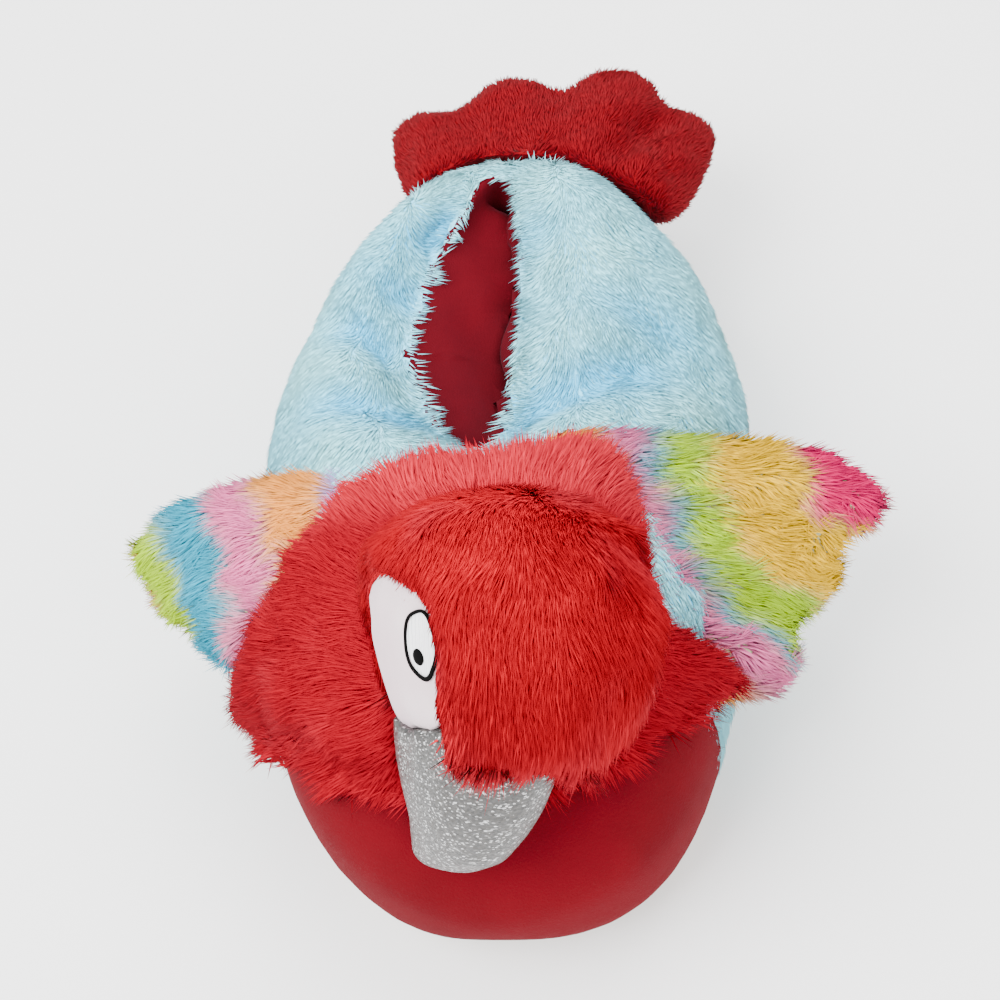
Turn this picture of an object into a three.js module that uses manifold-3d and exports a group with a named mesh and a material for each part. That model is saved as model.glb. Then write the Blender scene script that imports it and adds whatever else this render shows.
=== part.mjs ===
// Plush parrot slipper, the right shoe, in millimetres.
// The origin is on the ground under the middle of the sole.
// The toe points to -Y, the heel to +Y, the inner side of the foot to +X, and +Z is up.

import * as THREE from "three";
import { mergeVertices } from "three/addons/utils/BufferGeometryUtils.js";
import Module from "manifold-3d";

// Sole and insole
const SOLE_LENGTH = 248;
const SOLE_WIDTH = 118;
const SOLE_THICK = 8;
const SOLE_EDGE_ROUND = 3;
const TOE_SPRING = 5;
const INSOLE_THICK = 4;
const INSOLE_INSET = 4;
const INSOLE_EDGE_ROUND = 1;

// Stuffed body
const BODY_LENGTH = 272;
const BODY_WIDTH = 154;
const BULGE_HEIGHT = 40;
const INSTEP_HEIGHT = 98;
const HEM_HEIGHT = 2;
const SIDE_WALL = 20;
const END_WALL = 17;
const TOP_WALL = 14;

// Collar slit between the two cushions
const SLIT_LENGTH = 121;
const SLIT_WIDTH = 32;
const SLIT_FROM_HEEL = 21;
const SLIT_LEAN = 11;
const GROOVE_DEPTH = 21;
const GROOVE_REACH = 26;

// Skins over the body
const VELOUR_THICK = 2.5;
const CHEST_PILE = 10;
const GAP = 0.3;

// Head and beak, in the head's own directions
const HEAD_LENGTH = 66;
const HEAD_WIDTH = 72;
const HEAD_HEIGHT = 92;
const HEAD_YAW = -6;
const HEAD_PITCH = 43;
const HEAD_ROLL = 43;
const HEAD_AHEAD = 107;
const HEAD_ABOVE = 108;
const HEAD_ASIDE = 2;
const NECK_WIDTH = 78;
const BEAK_LENGTH = 42;
const BEAK_HEIGHT = 57;
const BEAK_WIDTH = 37;
const PATCH_LENGTH = 40;
const PATCH_HEIGHT = 47;
const PATCH_THICK = 3;
const PATCH_SINK = 5.5;

// Wings and tail
const WING_SPAN = 74;
const WING_WIDTH = 36;
const WING_THICK = 26;
const TAIL_WIDTH = 114;
const TAIL_REACH = 35;
const TAIL_THICK = 27;
const TAIL_HEIGHT = 63;
const TAIL_SHIFT = 11;
const TAIL_SUNK = 22;

// Locks of the long pile
const LOCK_LENGTH = 15;
const LOCK_WIDTH = 13;
const TUFT_RISE = 9;
const FRINGE_ROOT = 4;

// Shares of the named sizes, from the heel (0) to the toe (1)
const BODY_OUTLINE = [
  { share: 0.0, lateral: 0.84, medial: 0.88, crown: 1.25 },
  { share: 0.08, lateral: 0.91, medial: 0.94, crown: 1.16 },
  { share: 0.18, lateral: 0.98, medial: 0.99, crown: 1.0 },
  { share: 0.32, lateral: 1.02, medial: 1.0, crown: 0.92 },
  { share: 0.45, lateral: 1.03, medial: 1.01, crown: 0.93 },
  { share: 0.6, lateral: 1.01, medial: 0.99, crown: 1.0 },
  { share: 0.75, lateral: 0.98, medial: 0.97, crown: 0.98 },
  { share: 0.86, lateral: 0.99, medial: 1.01, crown: 0.91 },
  { share: 1.0, lateral: 0.97, medial: 1.16, crown: 0.72 },
];
const SOLE_OUTLINE = [
  { share: 0.0, lateral: 1.03, medial: 0.95 },
  { share: 0.18, lateral: 0.84, medial: 0.82 },
  { share: 0.31, lateral: 0.86, medial: 0.87 },
  { share: 0.45, lateral: 0.9, medial: 0.86 },
  { share: 0.58, lateral: 0.92, medial: 0.93 },
  { share: 0.72, lateral: 0.95, medial: 1.05 },
  { share: 0.86, lateral: 0.98, medial: 1.08 },
  { share: 1.0, lateral: 1.04, medial: 1.18 },
];
// The head's sections from its back (0) to the beak's root (1), in shares of its half sizes
const HEAD_PROFILE = [
  { share: 0.03, top: 0.42, bottom: 0.04, right: 0.28, left: 0.44 },
  { share: 0.12, top: 0.7, bottom: 0.44, right: 0.56, left: 0.84 },
  { share: 0.29, top: 0.92, bottom: 0.84, right: 0.78, left: 1.1 },
  { share: 0.51, top: 1.02, bottom: 0.96, right: 0.84, left: 1.18 },
  { share: 0.72, top: 1.04, bottom: 0.95, right: 0.78, left: 1.1 },
  { share: 0.91, top: 0.98, bottom: 0.82, right: 0.7, left: 0.96 },
  { share: 1.04, top: 0.8, bottom: 0.64, right: 0.55, left: 0.7 },
];
// The beak's sections from its root (0) to its front (1), in shares of its half sizes
const BEAK_PROFILE = [
  { share: -0.26, top: 0.96, bottom: 0.94, wide: 0.95 },
  { share: 0.0, top: 1.0, bottom: 1.0, wide: 1.0 },
  { share: 0.22, top: 0.9, bottom: 1.0, wide: 0.98 },
  { share: 0.42, top: 0.76, bottom: 0.9, wide: 0.9 },
  { share: 0.6, top: 0.58, bottom: 0.8, wide: 0.78 },
  { share: 0.79, top: 0.35, bottom: 0.86, wide: 0.6 },
  { share: 0.92, top: 0.0, bottom: 0.94, wide: 0.42 },
  { share: 0.99, top: -0.42, bottom: 0.84, wide: 0.24 },
];
const LOBE_PROFILE = [
  { share: 0.0, wide: 0.84, thick: 0.8 },
  { share: 0.25, wide: 0.98, thick: 1.0 },
  { share: 0.5, wide: 1.0, thick: 0.96 },
  { share: 0.72, wide: 0.86, thick: 0.82 },
  { share: 0.9, wide: 0.56, thick: 0.56 },
];

// The chest's edges in plan: shares of half the body's width and of its length
const CHEST_BACK = [
  { across: -1.25, ahead: 0.26 },
  { across: -0.93, ahead: 0.235 },
  { across: -0.7, ahead: 0.15 },
  { across: -0.42, ahead: 0.08 },
  { across: 0.0, ahead: 0.066 },
  { across: 0.5, ahead: 0.045 },
  { across: 0.74, ahead: 0.13 },
  { across: 0.88, ahead: 0.24 },
  { across: 1.25, ahead: 0.26 },
];
const CHEST_FRONT = [
  { across: 1.25, ahead: 0.27 },
  { across: 0.86, ahead: 0.275 },
  { across: 0.6, ahead: 0.32 },
  { across: 0.3, ahead: 0.38 },
  { across: -0.3, ahead: 0.39 },
  { across: -0.62, ahead: 0.345 },
  { across: -0.88, ahead: 0.28 },
  { across: -1.25, ahead: 0.27 },
];

// The wings' feather lobes, from the root on the body to the tip: across in shares of half the
// body's width, ahead in shares of its length, up in shares of the instep's height, and the
// tip's way in shares of the wing's span
const WING_LOBES = {
  right: [
    { across: 0.5, ahead: 0.09, up: 0.84, out: 1.02, back: 0.02, down: 0.26, wide: 1.0 },
    { across: 0.7, ahead: 0.145, up: 0.77, out: 0.74, back: 0.14, down: 0.26, wide: 0.95 },
    { across: 0.86, ahead: 0.2, up: 0.64, out: 0.32, back: 0.22, down: 0.12, wide: 0.75 },
  ],
  left: [
    { across: 0.58, ahead: 0.055, up: 0.81, out: 0.96, back: 0.02, down: 0.14, wide: 1.05 },
    { across: 0.74, ahead: 0.14, up: 0.74, out: 0.6, back: 0.12, down: 0.2, wide: 0.95 },
    { across: 0.84, ahead: 0.225, up: 0.64, out: 0.28, back: 0.14, down: 0.2, wide: 0.8 },
  ],
};

// The tail's lobes: across in shares of its width, reach in shares of how far it stands out
const TAIL_LOBES = [
  { across: -0.36, reach: 0.72, down: 0.1 },
  { across: -0.1, reach: 0.96, down: 0.0 },
  { across: 0.17, reach: 1.06, down: 0.0 },
  { across: 0.38, reach: 0.72, down: 0.26 },
];

// How blunt each outline's ends are, and how square its cross-sections
const BODY_BLUNT = 2.6;
const CROWN_BLUNT = 3.6;
const SOLE_BLUNT = 5;
const BASE_BLUNT = 12;
const CROWN_SQUARE = 2.3;
const BASE_SQUARE = 3.8;

const wasm = await Module();
wasm.setup();

const HALF_TURN = Math.PI;
const radians = THREE.MathUtils.degToRad;
const smooth = THREE.MathUtils.smoothstep;

// A table's column at a share, smooth between its rows
function valueAt(rows, column, share) {
  const last = rows.length - 1;
  let i = 0;
  while (i < last - 1 && share > rows[i + 1].share) i += 1;
  const before = rows[Math.max(i - 1, 0)];
  const low = rows[i];
  const high = rows[i + 1];
  const after = rows[Math.min(i + 2, last)];
  const span = high.share - low.share;
  const t = THREE.MathUtils.clamp((share - low.share) / span, 0, 1);
  const startSlope = ((high[column] - before[column]) / (high.share - before.share)) * span;
  const endSlope = ((after[column] - low[column]) / (after.share - low.share)) * span;
  const t2 = t * t;
  const t3 = t2 * t;
  return (
    (2 * t3 - 3 * t2 + 1) * low[column] +
    (t3 - 2 * t2 + t) * startSlope +
    (3 * t2 - 2 * t3) * high[column] +
    (t3 - t2) * endSlope
  );
}

// How far an outline has opened at a share of its length: 0 at both ends, 1 in the middle
function opened(share, blunt) {
  return Math.sqrt(Math.max(0, 1 - Math.abs(2 * share - 1) ** blunt));
}

// Shares from 0 to 1 that lie closer together near both ends
function endwise(count) {
  return Array.from({ length: count }, (_, i) => (1 - Math.cos((HALF_TURN * (i + 0.5)) / count)) / 2);
}

function bent(value, square) {
  return Math.sign(value) * Math.abs(value) ** (2 / square);
}

// A closed skin through rings of points, each end closed to one point, moved out by grow
function skin(rings, startPoint, endPoint, grow = 0) {
  const count = rings[0].length;
  const points = [startPoint, ...rings.flat(), endPoint];
  const at = (ring, i) => 1 + ring * count + (i % count);
  const faces = [];
  for (let i = 0; i < count; i += 1) {
    faces.push(0, at(0, i + 1), at(0, i));
    for (let ring = 0; ring < rings.length - 1; ring += 1) {
      faces.push(at(ring, i), at(ring, i + 1), at(ring + 1, i));
      faces.push(at(ring, i + 1), at(ring + 1, i + 1), at(ring + 1, i));
    }
    faces.push(points.length - 1, at(rings.length - 1, i), at(rings.length - 1, i + 1));
  }
  const geometry = new THREE.BufferGeometry().setFromPoints(points);
  geometry.setIndex(faces);
  if (grow !== 0) {
    geometry.computeVertexNormals();
    const place = geometry.attributes.position;
    const out = geometry.attributes.normal;
    for (let i = 0; i < place.count; i += 1) {
      const x = place.getX(i) + grow * out.getX(i);
      const y = place.getY(i) + grow * out.getY(i);
      const z = place.getZ(i) + grow * out.getZ(i);
      place.setXYZ(i, x, y, z);
    }
  }
  return solidOf(geometry);
}

// A solid from a closed geometry
function solidOf(geometry) {
  geometry.deleteAttribute("normal");
  geometry.deleteAttribute("uv");
  const merged = mergeVertices(geometry, 1e-4);
  return new wasm.Manifold(
    new wasm.Mesh({
      numProp: 3,
      vertProperties: new Float32Array(merged.attributes.position.array),
      triVerts: new Uint32Array(merged.index.array),
    })
  );
}

// A vertical prism between two heights, over an outline in plan
function prism(outline, low, high) {
  const shape = new THREE.Shape(outline);
  const geometry = new THREE.ExtrudeGeometry(shape, { depth: high - low, bevelEnabled: false, curveSegments: 12 });
  geometry.translate(0, 0, low);
  return solidOf(geometry);
}

function heelwards(share, length) {
  return length / 2 - share * length;
}

// Half the slit's width at a place along the shoe, and how far its middle leans to the outer side
function slitHalf(y) {
  const back = BODY_LENGTH / 2 - SLIT_FROM_HEEL;
  const along = (back - y) / SLIT_LENGTH;
  if (along <= 0 || along >= 1) return 0;
  return (SLIT_WIDTH / 2) * Math.sin(HALF_TURN * along) ** 0.8;
}

function slitMiddle(y) {
  const back = BODY_LENGTH / 2 - SLIT_FROM_HEEL;
  const along = THREE.MathUtils.clamp((back - y) / SLIT_LENGTH, 0, 1);
  return -SLIT_LEAN * (0.2 + 0.35 * along + 0.65 * Math.sin(HALF_TURN * along));
}

// How deep the cushions roll down towards the slit
function groove(x, y) {
  const back = BODY_LENGTH / 2 - SLIT_FROM_HEEL;
  const aside = Math.max(0, Math.abs(x - slitMiddle(y)) - slitHalf(y));
  const near = Math.max(0, 1 - aside / GROOVE_REACH);
  const heelFade = 1 - smooth(y, back - SLIT_LENGTH * 0.4, back + GROOVE_REACH * 0.4);
  const toeFade = smooth(y, back - SLIT_LENGTH - GROOVE_REACH * 0.4, back - SLIT_LENGTH * 0.8);
  return GROOVE_DEPTH * near * near * heelFade * toeFade;
}

// The form that the outer body and the foot space share
function bodyForm(size, grow = 0) {
  const angles = [];
  for (let i = 0; i < size.around; i += 1) {
    const up = i / size.around;
    const half = up < 0.5 ? 2 * up : 2 - 2 * up;
    const angle = -HALF_TURN / 2 + HALF_TURN * (1 - (1 - half) ** 1.2);
    angles.push(up < 0.5 ? angle : HALF_TURN - angle);
  }
  const rings = endwise(size.along).map((share) =>
    angles.map((angle) => {
      const inner = Math.cos(angle) > 0;
      const column = inner ? "medial" : "lateral";
      const y = heelwards(share, size.length);
      const half = (size.width / 2) * valueAt(BODY_OUTLINE, column, share) * opened(share, BODY_BLUNT);
      const crown = (size.top - BULGE_HEIGHT) * valueAt(BODY_OUTLINE, "crown", share);
      const spring = TOE_SPRING * smooth(share, 0.78, 1.0);
      const above = Math.sin(angle) > 0;
      const x = half * bent(Math.cos(angle), above ? CROWN_SQUARE : BASE_SQUARE);
      const rise = above
        ? crown * opened(share, CROWN_BLUNT) * bent(Math.sin(angle), CROWN_SQUARE)
        : (BULGE_HEIGHT - size.bottom) * opened(share, BASE_BLUNT) * bent(Math.sin(angle), BASE_SQUARE);
      const roll = above ? groove(x, y) * smooth(Math.sin(angle), 0.3, 0.7) : 0;
      return new THREE.Vector3(x, y, BULGE_HEIGHT + rise - roll + spring * (1 - 0.6 * Math.max(0, Math.sin(angle))));
    })
  );
  const heelPoint = new THREE.Vector3(0, size.length / 2, BULGE_HEIGHT);
  const toePoint = new THREE.Vector3(0, -size.length / 2, BULGE_HEIGHT + TOE_SPRING);
  return skin(rings, heelPoint, toePoint, grow);
}

const OUTER = {
  along: 28,
  around: 32,
  length: BODY_LENGTH,
  width: BODY_WIDTH,
  top: INSTEP_HEIGHT,
  bottom: HEM_HEIGHT,
};
const INNER = {
  along: 16,
  around: 20,
  length: BODY_LENGTH - 2 * END_WALL,
  width: BODY_WIDTH - 2 * SIDE_WALL,
  top: INSTEP_HEIGHT - TOP_WALL,
  bottom: -SOLE_THICK,
};

// A layer with the sole's outline between two heights, following the toe spring
function soleLayer(low, high, inset, round) {
  const thick = high - low;
  const rings = endwise(22).map((share) => {
    const y = heelwards(share, SOLE_LENGTH - 2 * inset);
    const spring = TOE_SPRING * smooth(share, 0.78, 1.0);
    const half = (column) =>
      (SOLE_WIDTH / 2 - inset) * valueAt(SOLE_OUTLINE, column, share) * opened(share, SOLE_BLUNT);
    const inner = half("medial");
    const outer = half("lateral");
    const bevel = Math.min(round, inner * 0.4, outer * 0.4);
    const rise = Math.min(round, thick / 2) * 0.9;
    const ring = [
      [inner - bevel, 0],
      [inner - bevel * 0.3, rise * 0.3],
      [inner, rise],
      [inner, thick - rise],
      [inner - bevel * 0.5, thick],
      [-(outer - bevel * 0.5), thick],
      [-outer, thick - rise],
      [-outer, rise],
      [-(outer - bevel * 0.3), rise * 0.3],
      [-(outer - bevel), 0],
    ];
    return ring.map(([x, z]) => new THREE.Vector3(x, y, low + z + spring));
  });
  const middle = (low + high) / 2;
  const heelPoint = new THREE.Vector3(0, SOLE_LENGTH / 2 - inset, middle);
  const toePoint = new THREE.Vector3(0, -SOLE_LENGTH / 2 + inset, middle + TOE_SPRING);
  return { rings, heelPoint, toePoint };
}

function soleForm(low, high, inset, round, grow = 0) {
  const layer = soleLayer(low, high, inset, round);
  return skin(layer.rings, layer.heelPoint, layer.toePoint, grow);
}

// The space in front of the seam between the blue plush and the velour
function toeSpace(gap) {
  const reach = BODY_LENGTH;
  const lateralSeam = heelwards(0.75, BODY_LENGTH) + gap;
  const medialSeam = heelwards(0.79, BODY_LENGTH) + gap;
  const outline = [
    new THREE.Vector2(-BODY_WIDTH / 2, lateralSeam),
    new THREE.Vector2(-BODY_WIDTH, lateralSeam),
    new THREE.Vector2(-BODY_WIDTH, -reach),
    new THREE.Vector2(BODY_WIDTH, -reach),
    new THREE.Vector2(BODY_WIDTH, medialSeam),
    new THREE.Vector2(BODY_WIDTH / 2, medialSeam),
  ];
  return prism(outline, -SOLE_THICK, 2 * INSTEP_HEIGHT);
}

// The region of the long-pile chest, in plan
function chestEdge(rows) {
  const places = rows.map((row) => new THREE.Vector2((BODY_WIDTH / 2) * row.across, -BODY_LENGTH * row.ahead));
  return new THREE.SplineCurve(places);
}

function chestSpace() {
  const outline = [...chestEdge(CHEST_BACK).getPoints(16), ...chestEdge(CHEST_FRONT).getPoints(16)];
  return prism(outline, BULGE_HEIGHT, 2 * INSTEP_HEIGHT);
}

// The slit as a lens in plan, cut straight down
function slitCut() {
  const back = BODY_LENGTH / 2 - SLIT_FROM_HEEL;
  const steps = 18;
  const side = (sign) =>
    Array.from({ length: steps - 1 }, (_, i) => {
      const y = back - (SLIT_LENGTH * (i + 1)) / steps;
      return new THREE.Vector2(slitMiddle(y) + sign * slitHalf(y), y);
    });
  const heelEnd = new THREE.Vector2(slitMiddle(back), back);
  const toeEnd = new THREE.Vector2(slitMiddle(back - SLIT_LENGTH), back - SLIT_LENGTH);
  return prism([heelEnd, ...side(-1), toeEnd, ...side(1).reverse()], BULGE_HEIGHT, 2 * INSTEP_HEIGHT);
}

// The head's own axes: forward along the beak, up to the crown, and to the bird's right
const headTurn = new THREE.Quaternion()
  .setFromAxisAngle(new THREE.Vector3(0, 0, 1), radians(HEAD_YAW))
  .multiply(new THREE.Quaternion().setFromAxisAngle(new THREE.Vector3(1, 0, 0), radians(HEAD_PITCH)))
  .multiply(new THREE.Quaternion().setFromAxisAngle(new THREE.Vector3(0, 1, 0), radians(HEAD_ROLL)));
const beakBase = new THREE.Vector3(HEAD_ASIDE, -HEAD_AHEAD, HEAD_ABOVE);

function headPoint(forward, up, right) {
  return new THREE.Vector3(-right, -forward, up).applyQuaternion(headTurn).add(beakBase);
}

function headForm(grow = 0) {
  const count = 18;
  const rings = HEAD_PROFILE.map((row) => {
    const forward = HEAD_LENGTH * (row.share - 1);
    return Array.from({ length: count }, (_, i) => {
      const angle = (-2 * HALF_TURN * i) / count;
      const tall = (HEAD_HEIGHT / 2) * (Math.sin(angle) > 0 ? row.top : row.bottom);
      const wide = (HEAD_WIDTH / 2) * (Math.cos(angle) > 0 ? row.right : row.left);
      return headPoint(forward, tall * bent(Math.sin(angle), 2.1), wide * bent(Math.cos(angle), 2.1));
    });
  });
  const nape = headPoint(-HEAD_LENGTH, HEAD_HEIGHT * 0.12, -HEAD_WIDTH * 0.08);
  const face = headPoint(HEAD_LENGTH * 0.08, 0, 0);
  return skin(rings, nape, face, grow);
}

// The neck joins the head to the instep under it
function neckForm() {
  const count = 16;
  const top = headPoint(-HEAD_LENGTH * 0.5, 0, 0);
  const foot = new THREE.Vector3(0, top.y + HEAD_LENGTH * 0.4, BULGE_HEIGHT + TOP_WALL);
  const rings = [0, 0.35, 0.7, 0.95].map((share) =>
    Array.from({ length: count }, (_, i) => {
      const angle = (-2 * HALF_TURN * i) / count;
      const middle = new THREE.Vector3().lerpVectors(top, foot, share);
      const half = (NECK_WIDTH / 2) * (0.9 + 0.1 * share);
      return middle.add(new THREE.Vector3(half * Math.cos(angle), half * Math.sin(angle), 0));
    })
  );
  return skin(rings, top, foot);
}

function beakForm(grow = 0) {
  const count = 16;
  const rings = BEAK_PROFILE.map((row) => {
    const top = (BEAK_HEIGHT / 2) * row.top;
    const bottom = -(BEAK_HEIGHT / 2) * row.bottom;
    return Array.from({ length: count }, (_, i) => {
      const angle = (-2 * HALF_TURN * i) / count;
      const up = (top + bottom) / 2 + ((top - bottom) / 2) * Math.sin(angle);
      const right = (BEAK_WIDTH / 2) * row.wide * Math.cos(angle);
      return headPoint(BEAK_LENGTH * row.share, up, right);
    });
  });
  const root = headPoint(-BEAK_LENGTH * 0.28, 0, 0);
  const front = headPoint(BEAK_LENGTH * 1.02, -BEAK_HEIGHT * 0.34, 0);
  return skin(rings, root, front, grow);
}

// The cheek patch's outline as a prism along the head's sideways axis
function patchSpace(side, gap) {
  const count = 14;
  const forward = -PATCH_LENGTH * 0.55;
  const up = -PATCH_HEIGHT * 0.16;
  const ring = (right) =>
    Array.from({ length: count }, (_, i) => {
      const angle = (-side * 2 * HALF_TURN * i) / count;
      const ahead = (PATCH_LENGTH / 2 + gap) * bent(Math.cos(angle), 2.4);
      const above = (PATCH_HEIGHT / 2 + gap) * bent(Math.sin(angle), 2.4);
      return headPoint(forward + ahead, up + above, side * right);
    });
  const far = HEAD_WIDTH;
  const near = HEAD_WIDTH * 0.12;
  return skin([ring(far), ring(near)], headPoint(forward, up, side * far), headPoint(forward, up, side * near));
}

// A flattened, rounded lobe from a root to a tip
function lobe(root, tip, width, thick, flat, grow = 0) {
  const count = 12;
  const along = new THREE.Vector3().subVectors(tip, root);
  const reach = along.length();
  along.normalize();
  const across = new THREE.Vector3().crossVectors(flat, along).normalize();
  const up = new THREE.Vector3().crossVectors(along, across).normalize();
  const rings = LOBE_PROFILE.map((row) =>
    Array.from({ length: count }, (_, i) => {
      const angle = (2 * HALF_TURN * i) / count;
      return root
        .clone()
        .addScaledVector(along, reach * row.share)
        .addScaledVector(across, (width / 2) * row.wide * Math.cos(angle))
        .addScaledVector(up, (thick / 2) * row.thick * Math.sin(angle));
    })
  );
  return skin(rings, root, tip, grow);
}

// A pointed lock of pile that stands on a surface and hangs towards its tip
function lock(foot, tip, width) {
  const count = 4;
  const along = new THREE.Vector3().subVectors(tip, foot);
  const across = new THREE.Vector3(-along.y, along.x, 0.01).normalize();
  const up = new THREE.Vector3().crossVectors(along, across).normalize();
  const ring = (share, half) =>
    Array.from({ length: count }, (_, i) => {
      const angle = (2 * HALF_TURN * i) / count;
      return foot
        .clone()
        .addScaledVector(along, share)
        .addScaledVector(across, half * Math.cos(angle))
        .addScaledVector(up, half * 0.7 * Math.sin(angle));
    });
  return skin([ring(0, width / 2), ring(0.55, width / 3)], foot, tip);
}

function joined(solids) {
  return solids.reduce((whole, solid) => whole.add(solid));
}

// The height of the body's upper surface at a place in plan
function crownAt(x, y) {
  const share = THREE.MathUtils.clamp(0.5 - y / BODY_LENGTH, 0.001, 0.999);
  const column = x > 0 ? "medial" : "lateral";
  const half = (BODY_WIDTH / 2) * valueAt(BODY_OUTLINE, column, share) * opened(share, BODY_BLUNT);
  const crown = (INSTEP_HEIGHT - BULGE_HEIGHT) * valueAt(BODY_OUTLINE, "crown", share) * opened(share, CROWN_BLUNT);
  const inside = Math.max(0, 1 - (Math.abs(x) / half) ** CROWN_SQUARE);
  return BULGE_HEIGHT + crown * inside ** (1 / CROWN_SQUARE) - groove(x, y);
}

// One wing: feather lobes side by side, from their roots on the body out to their tips
function wingForm(side, rows, grow = 0) {
  const flat = new THREE.Vector3(side * 0.35, -0.25, 1).normalize();
  const lobes = rows.map((row) => {
    const root = new THREE.Vector3(
      (side * row.across * BODY_WIDTH) / 2,
      -row.ahead * BODY_LENGTH,
      row.up * INSTEP_HEIGHT
    );
    const way = new THREE.Vector3(side * row.out, row.back, -row.down);
    const tip = root.clone().addScaledVector(way, WING_SPAN);
    return lobe(root, tip, WING_WIDTH * row.wide, WING_THICK, flat, grow);
  });
  return joined(lobes);
}

// The tail: a fan of lobes from the back of the heel
function tailForm() {
  const flat = new THREE.Vector3(0, -0.2, 1).normalize();
  const lobes = TAIL_LOBES.map((row) => {
    const turn = row.across * 1.2;
    const reach = TAIL_REACH * row.reach + TAIL_SUNK;
    const root = new THREE.Vector3(
      TAIL_SHIFT + TAIL_WIDTH * row.across * 0.6,
      BODY_LENGTH / 2 - TAIL_SUNK,
      TAIL_HEIGHT
    );
    const way = new THREE.Vector3(Math.sin(turn), Math.cos(turn), -row.down);
    return lobe(root, root.clone().addScaledVector(way, reach), TAIL_WIDTH * 0.34, TAIL_THICK, flat);
  });
  return joined(lobes);
}

// Locks that hang from the chest's front edge over the velour
function chestLocks() {
  const edge = chestEdge(CHEST_FRONT);
  const steps = 15;
  return Array.from({ length: steps }, (_, i) => {
    const share = 0.17 + (0.66 * i) / (steps - 1);
    const place = edge.getPoint(share);
    const way = edge.getTangent(share);
    const out = new THREE.Vector2(way.y, -way.x).multiplyScalar(LOCK_LENGTH * (i % 2 ? 0.75 : 1));
    const foot = place.clone().addScaledVector(out, -0.45);
    const tip = place.clone().add(out);
    return lock(
      new THREE.Vector3(foot.x, foot.y, crownAt(foot.x, foot.y) + CHEST_PILE * 0.45),
      new THREE.Vector3(tip.x, tip.y, crownAt(tip.x, tip.y) + CHEST_PILE * 0.3),
      LOCK_WIDTH
    );
  });
}

// Locks of the head: a fringe over the beak, and tufts spread over the crown
function headLocks() {
  const ringAt = (forward, angle, out) =>
    headPoint(
      forward,
      (HEAD_HEIGHT / 2) * out * Math.sin(angle),
      (HEAD_WIDTH / 2) * out * (Math.cos(angle) - 0.16)
    );
  const fringe = Array.from({ length: 9 }, (_, i) => {
    const angle = radians(24 + 17 * i);
    return lock(ringAt(-FRINGE_ROOT, angle, 0.74), ringAt(LOCK_LENGTH * 0.8, angle, 0.74), LOCK_WIDTH);
  });
  const tufts = Array.from({ length: 14 }, (_, i) => {
    const angle = radians(20 + ((i * 53) % 140));
    const back = HEAD_LENGTH * (0.2 + 0.045 * i);
    const wide = 1 - 0.5 * Math.max(0, back / HEAD_LENGTH - 0.5);
    return lock(ringAt(-back, angle, 0.86 * wide), ringAt(-back - TUFT_RISE, angle, 1.12 * wide), LOCK_WIDTH * 1.2);
  });
  return [...fringe, ...tufts];
}

const body = bodyForm(OUTER);
const footSpace = bodyForm(INNER);
const seatGap = bodyForm(OUTER, GAP);
const pileForm = bodyForm(OUTER, CHEST_PILE);

const soleSolid = soleForm(0, SOLE_THICK, 0, SOLE_EDGE_ROUND);
const INSOLE_LOW = SOLE_THICK + GAP;
const insoleLayer = soleForm(INSOLE_LOW, INSOLE_LOW + INSOLE_THICK, INSOLE_INSET, INSOLE_EDGE_ROUND);
const insoleSolid = insoleLayer.intersect(bodyForm(INNER, -GAP * 1.5));

const recess = toeSpace(GAP).subtract(bodyForm(OUTER, -VELOUR_THICK - GAP));
const upperSolid = body
  .subtract(soleForm(0, SOLE_THICK, 0, SOLE_EDGE_ROUND, GAP))
  .subtract(footSpace)
  .subtract(slitCut())
  .subtract(recess);

const underSole = soleForm(-SOLE_THICK, SOLE_THICK, 0, SOLE_EDGE_ROUND, GAP * 2);
const toeSolid = body
  .intersect(toeSpace(0))
  .subtract(bodyForm(OUTER, -VELOUR_THICK))
  .subtract(underSole);

const wings = {
  right: wingForm(-1, WING_LOBES.right).subtract(seatGap),
  left: wingForm(1, WING_LOBES.left).subtract(seatGap),
};
const chestSolid = pileForm
  .intersect(chestSpace())
  .add(joined(chestLocks()))
  .subtract(seatGap)
  .subtract(wingForm(-1, WING_LOBES.right, GAP))
  .subtract(wingForm(1, WING_LOBES.left, GAP))
  .subtract(beakForm(GAP));

const overChest = bodyForm(OUTER, CHEST_PILE + GAP);
const headSolid = headForm()
  .add(neckForm())
  .add(joined(headLocks()))
  .subtract(overChest)
  .subtract(beakForm(GAP));
const beakSolid = beakForm().subtract(headForm(GAP)).subtract(bodyForm(OUTER, GAP));
const tailSolid = tailForm().subtract(seatGap);

function cheek(side) {
  const shell = headForm(-PATCH_SINK).subtract(headForm(-PATCH_SINK - PATCH_THICK));
  return shell.intersect(patchSpace(side, 0)).subtract(overChest);
}

const cheekCuts = [1, -1].map((side) =>
  patchSpace(side, GAP).subtract(headForm(-PATCH_SINK - PATCH_THICK - GAP))
);
const headDone = headSolid.subtract(cheekCuts[0]).subtract(cheekCuts[1]);

const plush = (color) => new THREE.MeshStandardMaterial({ color, roughness: 0.95, metalness: 0 });
const BLUE = plush(0x9edcf0);
const RED = plush(0xd8121e);
const CRIMSON = plush(0xb00c1c);
const WHITE = plush(0xf6f2f2);
const RAINBOW = plush(0xe8d84a);
const CANVAS = plush(0xcdc0b0);
const SILVER = new THREE.MeshStandardMaterial({ color: 0xb4b4b8, roughness: 0.4, metalness: 0.6 });

const group = new THREE.Group();

function place(name, solid, material) {
  const mesh = solid.getMesh();
  const geometry = new THREE.BufferGeometry();
  geometry.setAttribute("position", new THREE.Float32BufferAttribute(mesh.vertProperties, 3));
  geometry.setIndex(new THREE.Uint32BufferAttribute(mesh.triVerts, 1));
  const piece = new THREE.Mesh(geometry, material);
  piece.name = name;
  group.add(piece);
}

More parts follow.
